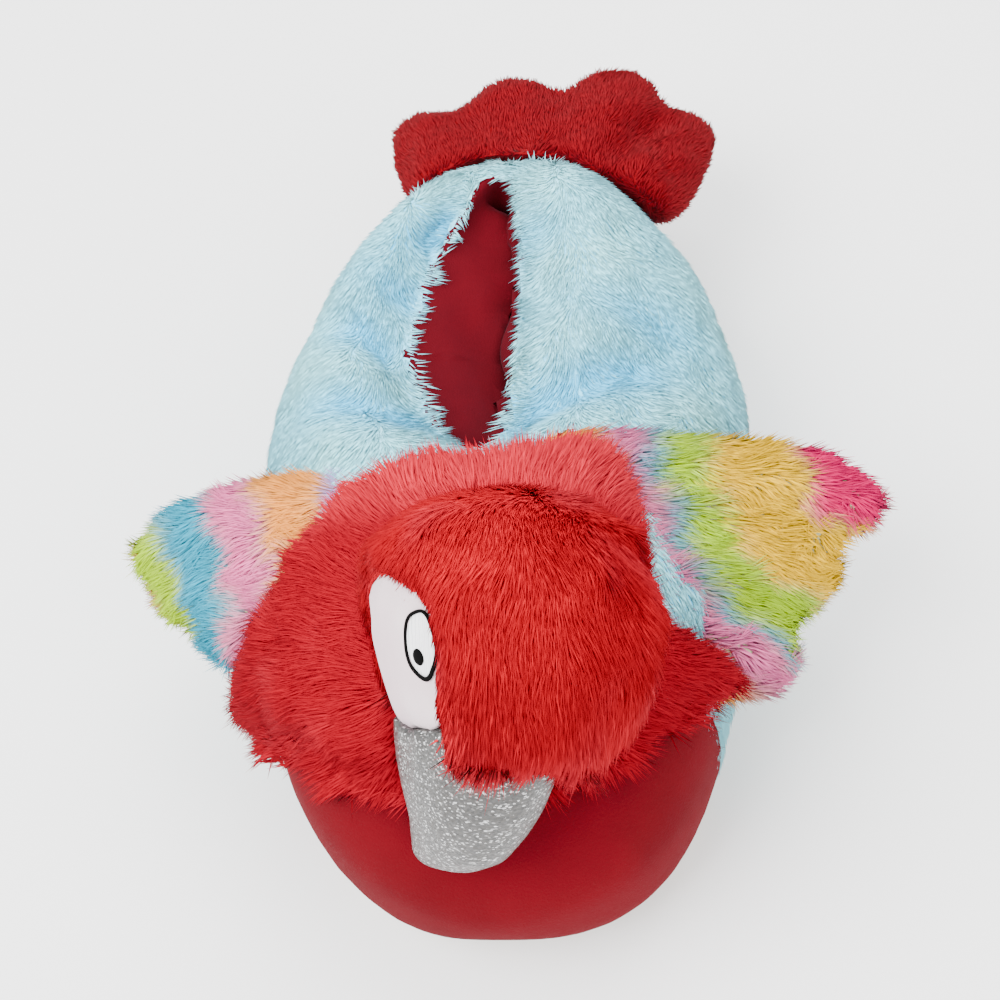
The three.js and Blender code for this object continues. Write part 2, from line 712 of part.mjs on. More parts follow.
place("sole", soleSolid, CANVAS);
place("insole", insoleSolid, CRIMSON);
place("upper", upperSolid, BLUE);
place("toe_panel", toeSolid, CRIMSON);
place("chest", chestSolid, RED);
place("head", headDone, RED);
place("eye_patch_right", cheek(1), WHITE);
place("eye_patch_left", cheek(-1), WHITE);
place("beak", beakSolid, SILVER);
place("wing_right", wings.right, RAINBOW);
place("wing_left", wings.left, RAINBOW);
place("tail", tailSolid, RED);

export default group;
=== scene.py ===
# %% [markdown]
# A plush bird slipper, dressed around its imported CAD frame.
#
# The real shoe is a stuffed body of light-blue plush with a velour toe, a red long-pile chest and
# head, rainbow wings, a fan tail and a soft canvas sole. Every fabric here is made the same way: the
# CAD solid gives the form, a copy of it is remeshed and smoothed into the backing cloth, and the
# pile is real geometry, thin closed spikes that Geometry Nodes plants on the backing.
#
# Units are metres, apart from places in the head's own directions and the tables of creases and
# wings, which are in millimetres. The toe points to -Y, the inner side of the foot to +X.

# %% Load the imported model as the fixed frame
import math

import bpy
import numpy as np
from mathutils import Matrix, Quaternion, Vector


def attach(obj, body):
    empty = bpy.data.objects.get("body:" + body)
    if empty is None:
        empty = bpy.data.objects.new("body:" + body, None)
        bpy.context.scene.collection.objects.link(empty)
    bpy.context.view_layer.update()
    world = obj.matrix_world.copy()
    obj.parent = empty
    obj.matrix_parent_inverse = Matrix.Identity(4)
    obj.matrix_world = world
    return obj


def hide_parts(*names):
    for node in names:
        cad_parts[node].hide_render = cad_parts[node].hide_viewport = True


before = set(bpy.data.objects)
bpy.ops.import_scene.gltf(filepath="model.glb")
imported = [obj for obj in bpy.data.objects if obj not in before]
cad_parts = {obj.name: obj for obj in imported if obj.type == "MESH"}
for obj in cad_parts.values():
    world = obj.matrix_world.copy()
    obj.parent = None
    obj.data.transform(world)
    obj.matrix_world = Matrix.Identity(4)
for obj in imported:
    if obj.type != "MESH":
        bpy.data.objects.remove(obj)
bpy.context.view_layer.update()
MM = 0.001

# %% [markdown]
# Operators act on whatever is selected, and the loaded CAD nodes all are. So every step starts by
# selecting one piece alone. The other helpers read and write a mesh's points as one NumPy array,
# which is the quick way to sculpt in code: a dent or a ridge is then a line of arithmetic. Most of
# it is masks, numbers from 0 to 1 that say how strongly each point is meant.


# %% Helpers: selection, points and attributes
def only(piece):
    bpy.ops.object.select_all(action="DESELECT")
    piece.select_set(True)
    bpy.context.view_layer.objects.active = piece
    return piece


def points_of(piece):
    flat = np.empty(len(piece.data.vertices) * 3, np.float32)
    piece.data.vertices.foreach_get("co", flat)
    return flat.reshape(-1, 3).astype(float)


def move_points(piece, points):
    piece.data.vertices.foreach_set("co", points.astype(np.float32).ravel())
    piece.data.update()


def normals_of(piece):
    flat = np.empty(len(piece.data.vertices) * 3, np.float32)
    piece.data.vertex_normals.foreach_get("vector", flat)
    return flat.reshape(-1, 3).astype(float)


def unit(vectors):
    length = np.linalg.norm(vectors, axis=-1, keepdims=True)
    return vectors / np.maximum(length, 1e-9)


def tell(piece, name, values):
    """Keeps one number, one vector or one colour for each point of a mesh."""
    values = np.asarray(values, np.float32)
    kinds = {1: ("FLOAT", "value"), 3: ("FLOAT_VECTOR", "vector"), 4: ("FLOAT_COLOR", "color")}
    kind, field = kinds[1 if values.ndim == 1 else values.shape[1]]
    attribute = piece.data.attributes.new(name, kind, "POINT")
    attribute.data.foreach_set(field, values.ravel())


# %% Helpers: masks, vectors and noise
def smooth_step(value, low, high):
    t = np.clip((value - low) / (high - low), 0, 1)
    return t * t * (3 - 2 * t)


def between(value, rise, fall):
    """1 in the middle of a range, with a smooth rise before it and a smooth fall after it."""
    return smooth_step(value, *rise) * (1 - smooth_step(value, *fall))


def columns(*parts):
    """One vector for each point, from numbers and arrays."""
    return np.stack(np.broadcast_arrays(*parts), 1)


def mixed(first, second, share):
    """A colour or a direction for each point, share of the way from the first to the second."""
    share = np.reshape(share, (-1, 1))
    return np.asarray(first) * (1 - share) + np.asarray(second) * share


def drift(points, size, seed, waves=14):
    """Smooth noise, mostly within -1 and 1, whose swells are about size metres apart."""
    draw = np.random.default_rng(seed)
    ways = unit(draw.normal(size=(waves, 3))) * draw.uniform(0.7, 1.5, (waves, 1)) * 2 * math.pi / size
    starts = draw.uniform(0, 2 * math.pi, waves)
    return np.sin(points @ ways.T + starts).sum(1) / math.sqrt(waves)


def drift_vector(points, size, seed):
    return np.stack([drift(points, size, seed + axis) for axis in range(3)], 1)


# %% [markdown]
# The backing of each soft piece starts as a copy of its CAD solid. The copy's loose triangles are
# merged, a voxel remesh turns them into even quads, and a Smooth modifier takes out the facets. The
# alternative, modelling each form again, would drift away from the solids that carry the part.


# %% Helper: a smooth backing from CAD solids
def backing(name, nodes, voxel, smoothing):
    copies = []
    for node in nodes:
        piece = bpy.data.objects.new(name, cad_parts[node].data.copy())
        bpy.context.scene.collection.objects.link(piece)
        copies.append(piece)
    only(copies[0])
    for piece in copies[1:]:
        piece.select_set(True)
    if len(copies) > 1:
        bpy.ops.object.join()
    piece = only(copies[0])
    piece.data.materials.clear()
    bpy.ops.object.mode_set(mode="EDIT")
    bpy.ops.mesh.select_all(action="SELECT")
    bpy.ops.mesh.remove_doubles(threshold=0.01 * MM)
    bpy.ops.object.mode_set(mode="OBJECT")
    remesh = piece.modifiers.new("remesh", "REMESH")
    remesh.mode = "VOXEL"
    remesh.voxel_size = voxel
    bpy.ops.object.modifier_apply(modifier="remesh")
    relax = piece.modifiers.new("relax", "SMOOTH")
    relax.factor = 0.5
    relax.iterations = smoothing
    bpy.ops.object.modifier_apply(modifier="relax")
    bpy.ops.object.shade_smooth()
    print(name, "backing:", len(piece.data.polygons), "faces")
    return piece


def along_normals(piece, distance):
    move_points(piece, points_of(piece) + normals_of(piece) * np.reshape(distance, (-1, 1)))


# %% [markdown]
# Pile is thousands of copies of one tiny spike, so the spike is a three-sided cone with four faces.
# Each spike keeps how far along it a point lies, which the material turns into darker roots: painted
# shade, standing in for the spikes shading each other deep in the pile.


# %% The spike
bpy.ops.object.select_all(action="DESELECT")
bpy.ops.mesh.primitive_cone_add(vertices=3, radius1=0.5, radius2=0, depth=1, location=(0, 0, 0.5))
spike = bpy.context.object
spike.name = "spike"
bpy.ops.object.transform_apply(location=True)
bpy.ops.object.shade_smooth()
tell(spike, "along", points_of(spike)[:, 2])
print("spike faces:", len(spike.data.polygons))

# %% [markdown]
# The planting is one Geometry Nodes group. It reads what the backing says at each point: how thick
# the pile stands (cover), where a spike aims (aim), and how long it is (reach). It scatters points
# with a fixed seed, stands one spike on each, and realizes them, so the result is an ordinary mesh.
# A hair system would look alike, but it isn't geometry that exports.


# %% The planting group
def planting_group():
    tree = bpy.data.node_groups.new("planting", "GeometryNodeTree")
    face = tree.interface
    face.new_socket("Backing", in_out="INPUT", socket_type="NodeSocketGeometry")
    for name, kind in (("Spike", "Object"), ("Density", "Float"), ("Width", "Float"), ("Length", "Float"),
                       ("Stray", "Float"), ("Seed", "Int")):
        face.new_socket(name, in_out="INPUT", socket_type="NodeSocket" + kind)
    face.new_socket("Pile", in_out="OUTPUT", socket_type="NodeSocketGeometry")
    made, link = tree.nodes.new, tree.links.new
    given = made("NodeGroupInput").outputs

    def read(name, kind):
        node = made("GeometryNodeInputNamedAttribute")
        node.data_type = kind
        node.inputs["Name"].default_value = name
        return node.outputs["Attribute"]

    def times(first, second):
        node = made("ShaderNodeMath")
        node.operation = "MULTIPLY"
        link(first, node.inputs[0])
        link(second, node.inputs[1])
        return node.outputs[0]

    def chance(low, high, shift, kind="FLOAT"):
        node = made("FunctionNodeRandomValue")
        node.data_type = kind
        place = 0 if kind == "FLOAT_VECTOR" else 2
        node.inputs[place].default_value = (low,) * 3 if kind == "FLOAT_VECTOR" else low
        node.inputs[place + 1].default_value = (high,) * 3 if kind == "FLOAT_VECTOR" else high
        seed = made("ShaderNodeMath")
        seed.inputs[1].default_value = shift
        link(given["Seed"], seed.inputs[0])
        link(seed.outputs[0], node.inputs["Seed"])
        return node.outputs[0 if kind == "FLOAT_VECTOR" else 1]

    scatter = made("GeometryNodeDistributePointsOnFaces")
    link(given["Backing"], scatter.inputs["Mesh"])
    link(times(read("cover", "FLOAT"), given["Density"]), scatter.inputs["Density"])
    link(given["Seed"], scatter.inputs["Seed"])

    stray = made("ShaderNodeVectorMath")
    stray.operation = "SCALE"
    link(chance(-1, 1, 11, "FLOAT_VECTOR"), stray.inputs[0])
    link(given["Stray"], stray.inputs["Scale"])
    aim = made("ShaderNodeVectorMath")
    link(read("aim", "FLOAT_VECTOR"), aim.inputs[0])
    link(stray.outputs[0], aim.inputs[1])
    stand = made("FunctionNodeAlignRotationToVector")
    stand.axis = "Z"
    link(aim.outputs[0], stand.inputs["Vector"])

    found = made("GeometryNodeObjectInfo")
    link(given["Spike"], found.inputs["Object"])
    size = made("ShaderNodeCombineXYZ")
    width = times(given["Width"], chance(0.7, 1.3, 23))
    link(width, size.inputs[0])
    link(width, size.inputs[1])
    link(times(times(given["Length"], read("reach", "FLOAT")), chance(0.72, 1.12, 37)), size.inputs[2])
    plant = made("GeometryNodeInstanceOnPoints")
    link(scatter.outputs["Points"], plant.inputs["Points"])
    link(found.outputs["Geometry"], plant.inputs["Instance"])
    link(stand.outputs[0], plant.inputs["Rotation"])
    link(size.outputs[0], plant.inputs["Scale"])
    tint = made("GeometryNodeStoreNamedAttribute")
    tint.domain = "INSTANCE"
    tint.inputs["Name"].default_value = "tint"
    link(plant.outputs[0], tint.inputs["Geometry"])
    link(chance(0, 1, 53), tint.inputs["Value"])
    realized = made("GeometryNodeRealizeInstances")
    link(tint.outputs[0], realized.inputs[0])
    link(realized.outputs[0], made("NodeGroupOutput").inputs[0])
    return tree


planting = planting_group()
SOCKETS = {item.name: item.identifier for item in planting.interface.items_tree if item.in_out == "INPUT"}

# %% [markdown]
# A backing tells where its pile goes. Plush is brushed: each tuft rises from the cloth and leans the
# way it was combed. So a piece gives one lay direction per point, and the helper tips the normal
# over towards it. The swirl adds smooth noise, which makes neighbouring spikes draw together into
# tufts, as real pile does. Dense real pile hides its own cloth, so the backing stands close under
# the spikes, and they lie rather flat on it.


# %% Helper: comb and plant the pile
FINE_SWIRL = 0.4


def copy_of(base, name):
    piece = bpy.data.objects.new(name, base.data.copy())
    bpy.context.scene.collection.objects.link(piece)
    piece.data.materials.clear()
    return piece


def triangles_of(piece):
    return sum(len(face.vertices) - 2 for face in piece.data.polygons)


def pile(name, base, count, width, length, lay, lean, seed, cover=1.0, reach=1.0, dye_and_painted_light=(1, 1, 1),
         swirl=0.4, swirl_size=14 * MM, stray=0.16):
    points, normals = points_of(base), normals_of(base)
    lay = np.broadcast_to(np.asarray(lay, float), points.shape)
    lay = unit(lay) + drift_vector(points, swirl_size, seed) * swirl
    lay = lay + drift_vector(points, swirl_size / 3, seed + 5) * swirl * FINE_SWIRL
    flat = unit(lay - (lay * normals).sum(1, keepdims=True) * normals)
    cover = np.broadcast_to(cover, len(points))
    area = sum(face.area * min(1, cover[list(face.vertices)].mean()) for face in base.data.polygons)
    planted = copy_of(base, name)
    tell(planted, "cover", cover)
    tell(planted, "aim", mixed(normals, flat, np.broadcast_to(lean, len(points))))
    tell(planted, "reach", np.broadcast_to(reach, len(points)))
    tell(planted, "backing_normal", normals)
    # The colour carries dye, and on some pieces painted shade or painted highlights
    colour = np.ones((len(points), 4))
    colour[:, :3] = dye_and_painted_light
    tell(planted, "dye_and_painted_light", colour)
    modifier = planted.modifiers.new("planting", "NODES")
    modifier.node_group = planting
    for key, value in (("Spike", spike), ("Density", count / max(area, 1e-6)), ("Width", width),
                       ("Length", length), ("Stray", stray), ("Seed", seed)):
        modifier[SOCKETS[key]] = value
    only(planted)
    bpy.ops.object.modifier_apply(modifier="planting")
    for spare in ("cover", "aim", "reach"):
        if spare in planted.data.attributes:
            planted.data.attributes.remove(planted.data.attributes[spare])
    planted.data.materials.clear()
    bpy.ops.object.shade_smooth()
    print(name, "pile:", triangles_of(planted), "triangles on", round(area * 1e4), "cm2")
    return planted


# %% [markdown]
# Pile scatters light: seen from a step away, a brushed surface shades like the cloth under it, not
# like a heap of needles. So the pile's material bends each spike's normal most of the way to the
# backing's normal, which the planting kept. Roots are painted darker than tips, as painted shade deep
# between the spikes, and each spike varies a little in tone.


# %% Helpers: a new material, and the nodes that several materials need
def new_material(name):
    material = bpy.data.materials.new(name)
    material.use_nodes = True
    nodes = material.node_tree.nodes
    return material, nodes, material.node_tree.links, nodes["Principled BSDF"]


def worked_out(nodes, links, kind, operation, *given):
    """What a Math or VectorMath node makes of links and plain values."""
    node = nodes.new("ShaderNode" + kind)
    node.operation = operation
    for socket, value in zip(node.inputs, given):
        if isinstance(value, bpy.types.NodeSocket):
            links.new(value, socket)
        else:
            socket.default_value = value
    return node.outputs["Value" if kind == "Math" or operation == "LENGTH" else "Vector"]


def noise(nodes, links, place, scale, detail):
    node = nodes.new("ShaderNodeTexNoise")
    node.inputs["Scale"].default_value = scale
    node.inputs["Detail"].default_value = detail
    links.new(place, node.inputs["Vector"])
    return node.outputs["Fac"]


def ramp(nodes, links, source, first, last, *inner):
    """A colour ramp through stops, each a place and a colour."""
    node = nodes.new("ShaderNodeValToRGB")
    stops = node.color_ramp.elements
    for stop, (place, colour) in zip(stops, (first, last)):
        stop.position = place
        stop.color = (*colour, 1)
    for place, colour in inner:
        stops.new(place).color = (*colour, 1)
    links.new(source, node.inputs["Fac"])
    return node.outputs["Color"]


def bumped(nodes, links, shader, height, strength, distance):
    node = nodes.new("ShaderNodeBump")
    node.inputs["Strength"].default_value = strength
    node.inputs["Distance"].default_value = distance
    links.new(height, node.inputs["Height"])
    links.new(node.outputs["Normal"], shader.inputs["Normal"])


def set_fabric(shader, roughness, sheen, sheen_tint, sheen_roughness):
    shader.inputs["Roughness"].default_value = roughness
    shader.inputs["Specular IOR Level"].default_value = 0.1
    shader.inputs["Sheen Weight"].default_value = sheen
    shader.inputs["Sheen Roughness"].default_value = sheen_roughness
    shader.inputs["Sheen Tint"].default_value = (*sheen_tint, 1)


# %% Materials: pile
def pile_material(name, root, tip, spread, softness, roughness=0.85, sheen=0.0, sheen_tint=(1, 1, 1)):
    """Pile as bright as root and tip say at its ends, each spike up to spread off that. A root darker than
    the tip is painted shade deep between the spikes.
    """
    material, nodes, links, shader = new_material(name)

    def reading(attribute):
        node = nodes.new("ShaderNodeAttribute")
        node.attribute_name = attribute
        return node.outputs

    def ranged(source, low, high):
        node = nodes.new("ShaderNodeMapRange")
        node.inputs["To Min"].default_value = low
        node.inputs["To Max"].default_value = high
        links.new(source, node.inputs["Value"])
        return node.outputs["Result"]

    # Roots darker than tips: painted shade, where the spikes shade each other
    depth = ranged(reading("along")["Fac"], root, tip)
    tone = ranged(reading("tint")["Fac"], 1 - spread, 1 + spread)
    shade = worked_out(nodes, links, "Math", "MULTIPLY", depth, tone)
    colour = nodes.new("ShaderNodeHueSaturation")
    links.new(reading("dye_and_painted_light")["Color"], colour.inputs["Color"])
    links.new(shade, colour.inputs["Value"])
    links.new(colour.outputs[0], shader.inputs["Base Color"])
    own = nodes.new("ShaderNodeNewGeometry")
    turn = nodes.new("ShaderNodeMix")
    turn.data_type = "VECTOR"
    turn.inputs["Factor"].default_value = softness
    links.new(own.outputs["Normal"], turn.inputs[4])
    links.new(reading("backing_normal")["Vector"], turn.inputs[5])
    level = worked_out(nodes, links, "VectorMath", "NORMALIZE", turn.outputs[1])
    links.new(level, shader.inputs["Normal"])
    set_fabric(shader, roughness, sheen, sheen_tint, sheen_roughness=0.5)
    return material


# %% [markdown]
# Velour, lining and the backings under the pile have too short a nap for spikes. They are one
# shader: two tones in soft patches, as where a hand has stroked the cloth, and a fine noise as bump.


# %% Materials: cloth
def cloth_material(name, colour, deep, roughness=0.95, sheen=0.0, sheen_tint=(1, 1, 1), grain=900,
                   grain_depth=0.8 * MM):
    material, nodes, links, shader = new_material(name)
    place = nodes.new("ShaderNodeTexCoord").outputs["Object"]
    stroked = noise(nodes, links, place, scale=22, detail=5)
    links.new(ramp(nodes, links, stroked, (0.35, deep), (0.62, colour)), shader.inputs["Base Color"])
    nap = noise(nodes, links, place, scale=grain, detail=3)
    bumped(nodes, links, shader, nap, strength=0.6, distance=grain_depth)
    set_fabric(shader, roughness, sheen, sheen_tint, sheen_roughness=0.4)
    return material


# %% [markdown]
# The dyes are darker and purer than they look in the render, because its view transform takes
# strength out of bright colours.

# %% The shoe's fabrics
CRIMSON = (0.112, 0.0, 0.004)
CRIMSON_DEEP = (0.085, 0.0, 0.003)
LINING = (0.08, 0.0, 0.004)
LINING_DEEP = (0.055, 0.0, 0.003)
SKY = (0.37, 0.92, 1.0)
# The deeper sky blue is a random tone, and in the blue pile's creases also painted shade
SKY_DEEP_AND_SHADE = (0.09, 0.62, 1.0)
SKY_BACKING = (0.33, 0.82, 0.97)
SCARLET = (0.58, 0.0, 0.011)
CHEST_RED = (0.37, 0.0, 0.011)
# Coral is a painted highlight: the sheen where red pile's tips catch the light
CORAL_SHEEN = (0.76, 0.025, 0.05)
TAIL_RED = (0.20, 0.0, 0.005)
RED_SHEEN = (1.0, 0.3, 0.3)
SKY_SHEEN = (0.9, 0.98, 1.0)

velour = cloth_material("crimson_velour", CRIMSON, CRIMSON_DEEP, grain=1500, grain_depth=0.5 * MM)
lining = cloth_material("crimson_lining", LINING, LINING_DEEP, roughness=0.9, sheen=0.05,
                        sheen_tint=(0.9, 0.2, 0.3), grain=1600, grain_depth=0.3 * MM)
blue_cloth = cloth_material("blue_backing", SKY_BACKING, SKY_DEEP_AND_SHADE, sheen=0.1, sheen_tint=SKY_SHEEN)
red_cloth = cloth_material("red_backing", (0.42, 0.0, 0.005), (0.36, 0.0, 0.004))
tail_cloth = cloth_material("tail_backing", (0.20, 0.0, 0.004), (0.17, 0.0, 0.004))
white_cloth = cloth_material("white_plush", (0.68, 0.57, 0.59), (0.60, 0.45, 0.49), roughness=0.9,
                             sheen=0.3, grain=1500, grain_depth=0.3 * MM)
rainbow_cloth = cloth_material("wing_backing", (0.50, 0.50, 0.30), (0.40, 0.42, 0.25), sheen=0.1,
                               grain_depth=0.5 * MM)
blue_pile = pile_material("blue_pile", root=0.90, tip=1.04, spread=0.04, softness=0.92, sheen=0.15,
                          sheen_tint=SKY_SHEEN)
red_pile = pile_material("red_pile", root=0.88, tip=1.05, spread=0.06, softness=0.93, roughness=0.9)
tail_pile = pile_material("tail_pile", root=0.75, tip=1.06, spread=0.08, softness=0.85, sheen=0.1,
                          sheen_tint=RED_SHEEN)
rainbow_pile = pile_material("rainbow_pile", root=0.72, tip=1.1, spread=0.07, softness=0.85)
print("materials:", len(bpy.data.materials))

# %% [markdown]
# The stuffed body is one closed form: the CAD upper and toe panel, remeshed together. Its faces that
# look away from the middle of the shoe are the outside, and those that look inwards line the foot
# space. The plush side of it lies a little inside the CAD surface, because the pile stands out past
# it again.

# %% The body's backing
BODY_INSET = 1.2 * MM
SEAM_SIDES = (-60 * MM, 60 * MM)
SEAM_PLACES = (-68 * MM, -79 * MM)
MIDDLE_REACH = 80 * MM
MIDDLE_HEIGHT = 40 * MM
SLIT_X = -9 * MM


def past_toe_seam(points):
    """How far a point lies on the toe's side of the seam, which crosses the shoe at a slant."""
    return np.interp(points[:, 0], SEAM_SIDES, SEAM_PLACES) - points[:, 1]


body = backing("plush_body", ["upper", "toe_panel"], 3.0 * MM, 5)
spots = points_of(body)
middle = columns(0.0, np.clip(spots[:, 1], -MIDDLE_REACH, MIDDLE_REACH), MIDDLE_HEIGHT)
facing = (unit(spots - middle) * normals_of(body)).sum(1)
outside = smooth_step(facing, 0.0, 0.25)
toe = smooth_step(past_toe_seam(spots), -1.5 * MM, 1.5 * MM)
along_normals(body, -BODY_INSET * (outside * (1 - toe) + toe))

# %% [markdown]
# Where stuffed plush bends it creases. A crease is a groove along a short line in plan, sunk along
# the normals with soft flanks, and the stuffing between the creases swells a little.

# %% The body's creases
# Both ends in plan, the half width, and how deep they sink, in millimetres
CREASES = [
    ((-54, 61), (-31, 38), 9, 6.5),
    ((-56, 25), (-23, 10), 9, 6.5),
    ((-44, 72), (-26, 62), 9, 4.0),
    ((0, 10), (50, 34), 11, 7.0),
    ((-30, 84), (-18, 99), 9, 5.0),
    ((24, 56), (60, 46), 12, 3.5),
    ((4, 92), (20, 84), 9, 2.5),
]
FULL_CREASE = 6


def line_near(points, start, end, half_width):
    """1 on a line between two places in plan, falling to 0 beside it and past its ends."""
    start, end = np.array(start) * MM, np.array(end) * MM
    way = end - start
    share = np.clip(((points[:, :2] - start) @ way) / (way @ way), 0, 1)
    away = np.linalg.norm(points[:, :2] - start - share[:, None] * way, axis=1)
    taper = np.sin(math.pi * np.clip(share * 0.9 + 0.05, 0, 1)) ** 0.5
    return np.exp(-((away / (half_width * MM)) ** 2)) * taper


spots = points_of(body)
upward = smooth_step(spots[:, 2], 45 * MM, 62 * MM) * outside
# How deep each point lies in a crease, kept for the painted shade of the blue pile's creases
crease_shade = np.zeros(len(spots))
for start, end, half_width, depth in CREASES:
    near = line_near(spots, start, end, half_width) * upward
    crease_shade = np.maximum(crease_shade, near * min(1, depth / FULL_CREASE))
    along_normals(body, -near * depth * MM)
swell = drift(spots, 60 * MM, 5) * 1.2 * MM + drift(spots, 14 * MM, 6) * 0.2 * MM
along_normals(body, swell * outside * (1 - toe))
print("body creases:", len(CREASES))

# %% [markdown]
# Under the lips of the slit the lining sags inwards, most on the outer side, and its slack runs in
# slanted folds. So the inner faces near the slit are drawn towards its middle, most of all a little
# below the lips, and a slanted wave lifts and sinks them.

# %% The lining's sag and folds
SAG_OUTER, SAG_INNER = 29 * MM, 8 * MM
FOLD_PITCH = 3.6 * MM
FOLD_HEIGHT = 3 * MM

spots = points_of(body)
beside = spots[:, 0] - SLIT_X
at_slit = between(spots[:, 1], (-6 * MM, 14 * MM), (98 * MM, 114 * MM))
near_slit = (1 - outside) * at_slit * (1 - smooth_step(np.abs(beside), 16 * MM, 34 * MM))
sagging = near_slit * between(spots[:, 2], (40 * MM, 56 * MM), (60 * MM, 76 * MM))
spots[:, 0] -= np.sign(beside) * sagging * np.where(beside < 0, SAG_OUTER, SAG_INNER)
move_points(body, spots)
fold = np.sin((spots[:, 0] * 1.3 + spots[:, 1] * 0.5) / FOLD_PITCH + 0.8)
folded = near_slit * between(spots[:, 2], (40 * MM, 56 * MM), (64 * MM, 76 * MM))
along_normals(body, folded * fold * FOLD_HEIGHT)

# %% The body's two cloths
body.data.materials.append(blue_cloth)
body.data.materials.append(lining)
face_outside = np.array([outside[list(face.vertices)].mean() for face in body.data.polygons])
body.data.polygons.foreach_set("material_index", (face_outside < 0.5).astype(np.int32))
body.data.update()
print("lining:", int((face_outside < 0.5).sum()), "faces of the body")

# %% [markdown]
# The blue plush is sewn from two halves that meet at the heel and at the slit's ends, and each half
# gets its own pile. Away from the slit it is brushed down and towards the toe, and along the lips it
# reaches over the crimson lining. In the creases the pile is painted a deeper, stronger blue, as
# painted shade. None is planted where the chest hides it, and little right above the sole.

# %% Where and how the blue pile lies
LIP_PLACE = 15 * MM
LIP_WIDTH = 9 * MM

spots = points_of(body)
from_slit = spots[:, 0] - SLIT_X
beside_slit = np.exp(-(((np.abs(from_slit) - LIP_PLACE) / LIP_WIDTH) ** 2))
beside_slit *= between(spots[:, 1], (-12 * MM, 5 * MM), (112 * MM, 122 * MM))
beside_slit *= smooth_step(spots[:, 2], 55 * MM, 66 * MM)
brushed = columns(0.35 * np.sign(spots[:, 0]), -0.75, -0.45)
over_lip = columns(-np.sign(from_slit), 0.0, -0.3) * 1.2
lay = mixed(brushed, over_lip, beside_slit)
under_chest = smooth_step(-spots[:, 1], 34 * MM, 42 * MM) * smooth_step(spots[:, 2], 52 * MM, 60 * MM)
under_chest *= 1 - smooth_step(np.abs(spots[:, 0]), 34 * MM, 42 * MM)
before_seam = 1 - smooth_step(past_toe_seam(spots), -2 * MM, 0)
shown = smooth_step(outside, 0.4, 0.8) * before_seam * (1 - under_chest)
shown *= 0.25 + 0.75 * smooth_step(spots[:, 2], 6 * MM, 16 * MM)
streak = 0.5 + 0.5 * np.clip(drift(spots * (1, 0.45, 1), 30 * MM, 31), -1, 1)
# Random streaks of deeper blue, and painted shade in the creases
blue_dye_and_shade = mixed(SKY, SKY_DEEP_AND_SHADE, np.clip(0.25 * streak + 1.2 * crease_shade, 0, 1))

# %% Blue pile, one piece for each half
half_line = spots[:, 0] - SLIT_X * smooth_step(spots[:, 2], 40 * MM, 60 * MM)
blue_pieces = []
for name, side, seed in (("blue_pile_outer_half", -1, 101), ("blue_pile_inner_half", 1, 102)):
    half = smooth_step(side * half_line, -0.5 * MM, 0.5 * MM)
    blue_pieces.append(pile(name, body, count=41000, width=0.68 * MM, length=5.2 * MM, lay=lay,
                            lean=0.83, seed=seed, cover=shown * half, dye_and_painted_light=blue_dye_and_shade, swirl=0.3,
                            swirl_size=20 * MM, stray=0.12))

# %% [markdown]
# The toe is smooth velour, sewn on as a cap. It is taken from the body's own surface, so that it
# fits, lifted off it, and thickened with Solidify.


# %% Helper: a patch of another piece's surface, made a closed sheet
def patch_from(base, name, keep, lift, thick):
    piece = copy_of(base, name)
    move_points(piece, points_of(piece) + normals_of(base) * lift)
    only(piece)
    bpy.ops.object.mode_set(mode="EDIT")
    bpy.ops.mesh.select_mode(type="FACE")
    bpy.ops.object.mode_set(mode="OBJECT")
    drop = np.array([keep[list(face.vertices)].mean() < 0.5 for face in piece.data.polygons])
    piece.data.polygons.foreach_set("select", drop)
    bpy.ops.object.mode_set(mode="EDIT")
    bpy.ops.mesh.delete(type="FACE")
    bpy.ops.object.mode_set(mode="OBJECT")
    wall = piece.modifiers.new("wall", "SOLIDIFY")
    wall.thickness = thick
    wall.offset = -1
    bpy.ops.object.modifier_apply(modifier="wall")
    bpy.ops.object.shade_smooth()
    print(name, "patch:", len(piece.data.polygons), "faces")
    return piece


# %% Velour toe cap
on_toe = toe * smooth_step(outside, 0.3, 0.7)
toe_cap = patch_from(body, "toe_velour", on_toe, lift=1.4 * MM, thick=1.6 * MM)
toe_cap.data.materials.append(velour)

# %% [markdown]
# The chest is a thick patch of long red pile over the instep. Its inner side and its low edge are
# drawn in first, so that they follow the body closely. Its pile is combed down and outwards from the
# neck, and its edge hangs over the velour in tufts. Coral streaks, and a paler part towards the slit,
# are painted highlights: the sheen where the pile's tips catch the light.

# %% Chest
CHEST_SIDE = 28 * MM
CHEST_LOW_SIDE = 56 * MM
NECK = np.array([8, -85, 100]) * MM

chest = backing("chest_backing", ["chest"], 2.8 * MM, 8)
along_normals(chest, -1.6 * MM + drift(points_of(chest), 12 * MM, 40) * 0.6 * MM)
chest.data.materials.append(red_cloth)
spots = points_of(chest)
behind_front = smooth_step(spots[:, 1], -74 * MM, -58 * MM)
spots[:, 0] -= np.clip(spots[:, 0] - CHEST_SIDE, 0, 1) * 0.5 * behind_front
low_edge = 1 - smooth_step(spots[:, 2], 58 * MM, 68 * MM)
spots[:, 0] -= np.clip(spots[:, 0] - CHEST_LOW_SIDE, 0, 1) * 0.8 * low_edge
move_points(chest, spots)

spots, normals = points_of(chest), normals_of(chest)
lay = unit(spots - NECK) + np.array([0, 0, -0.4])
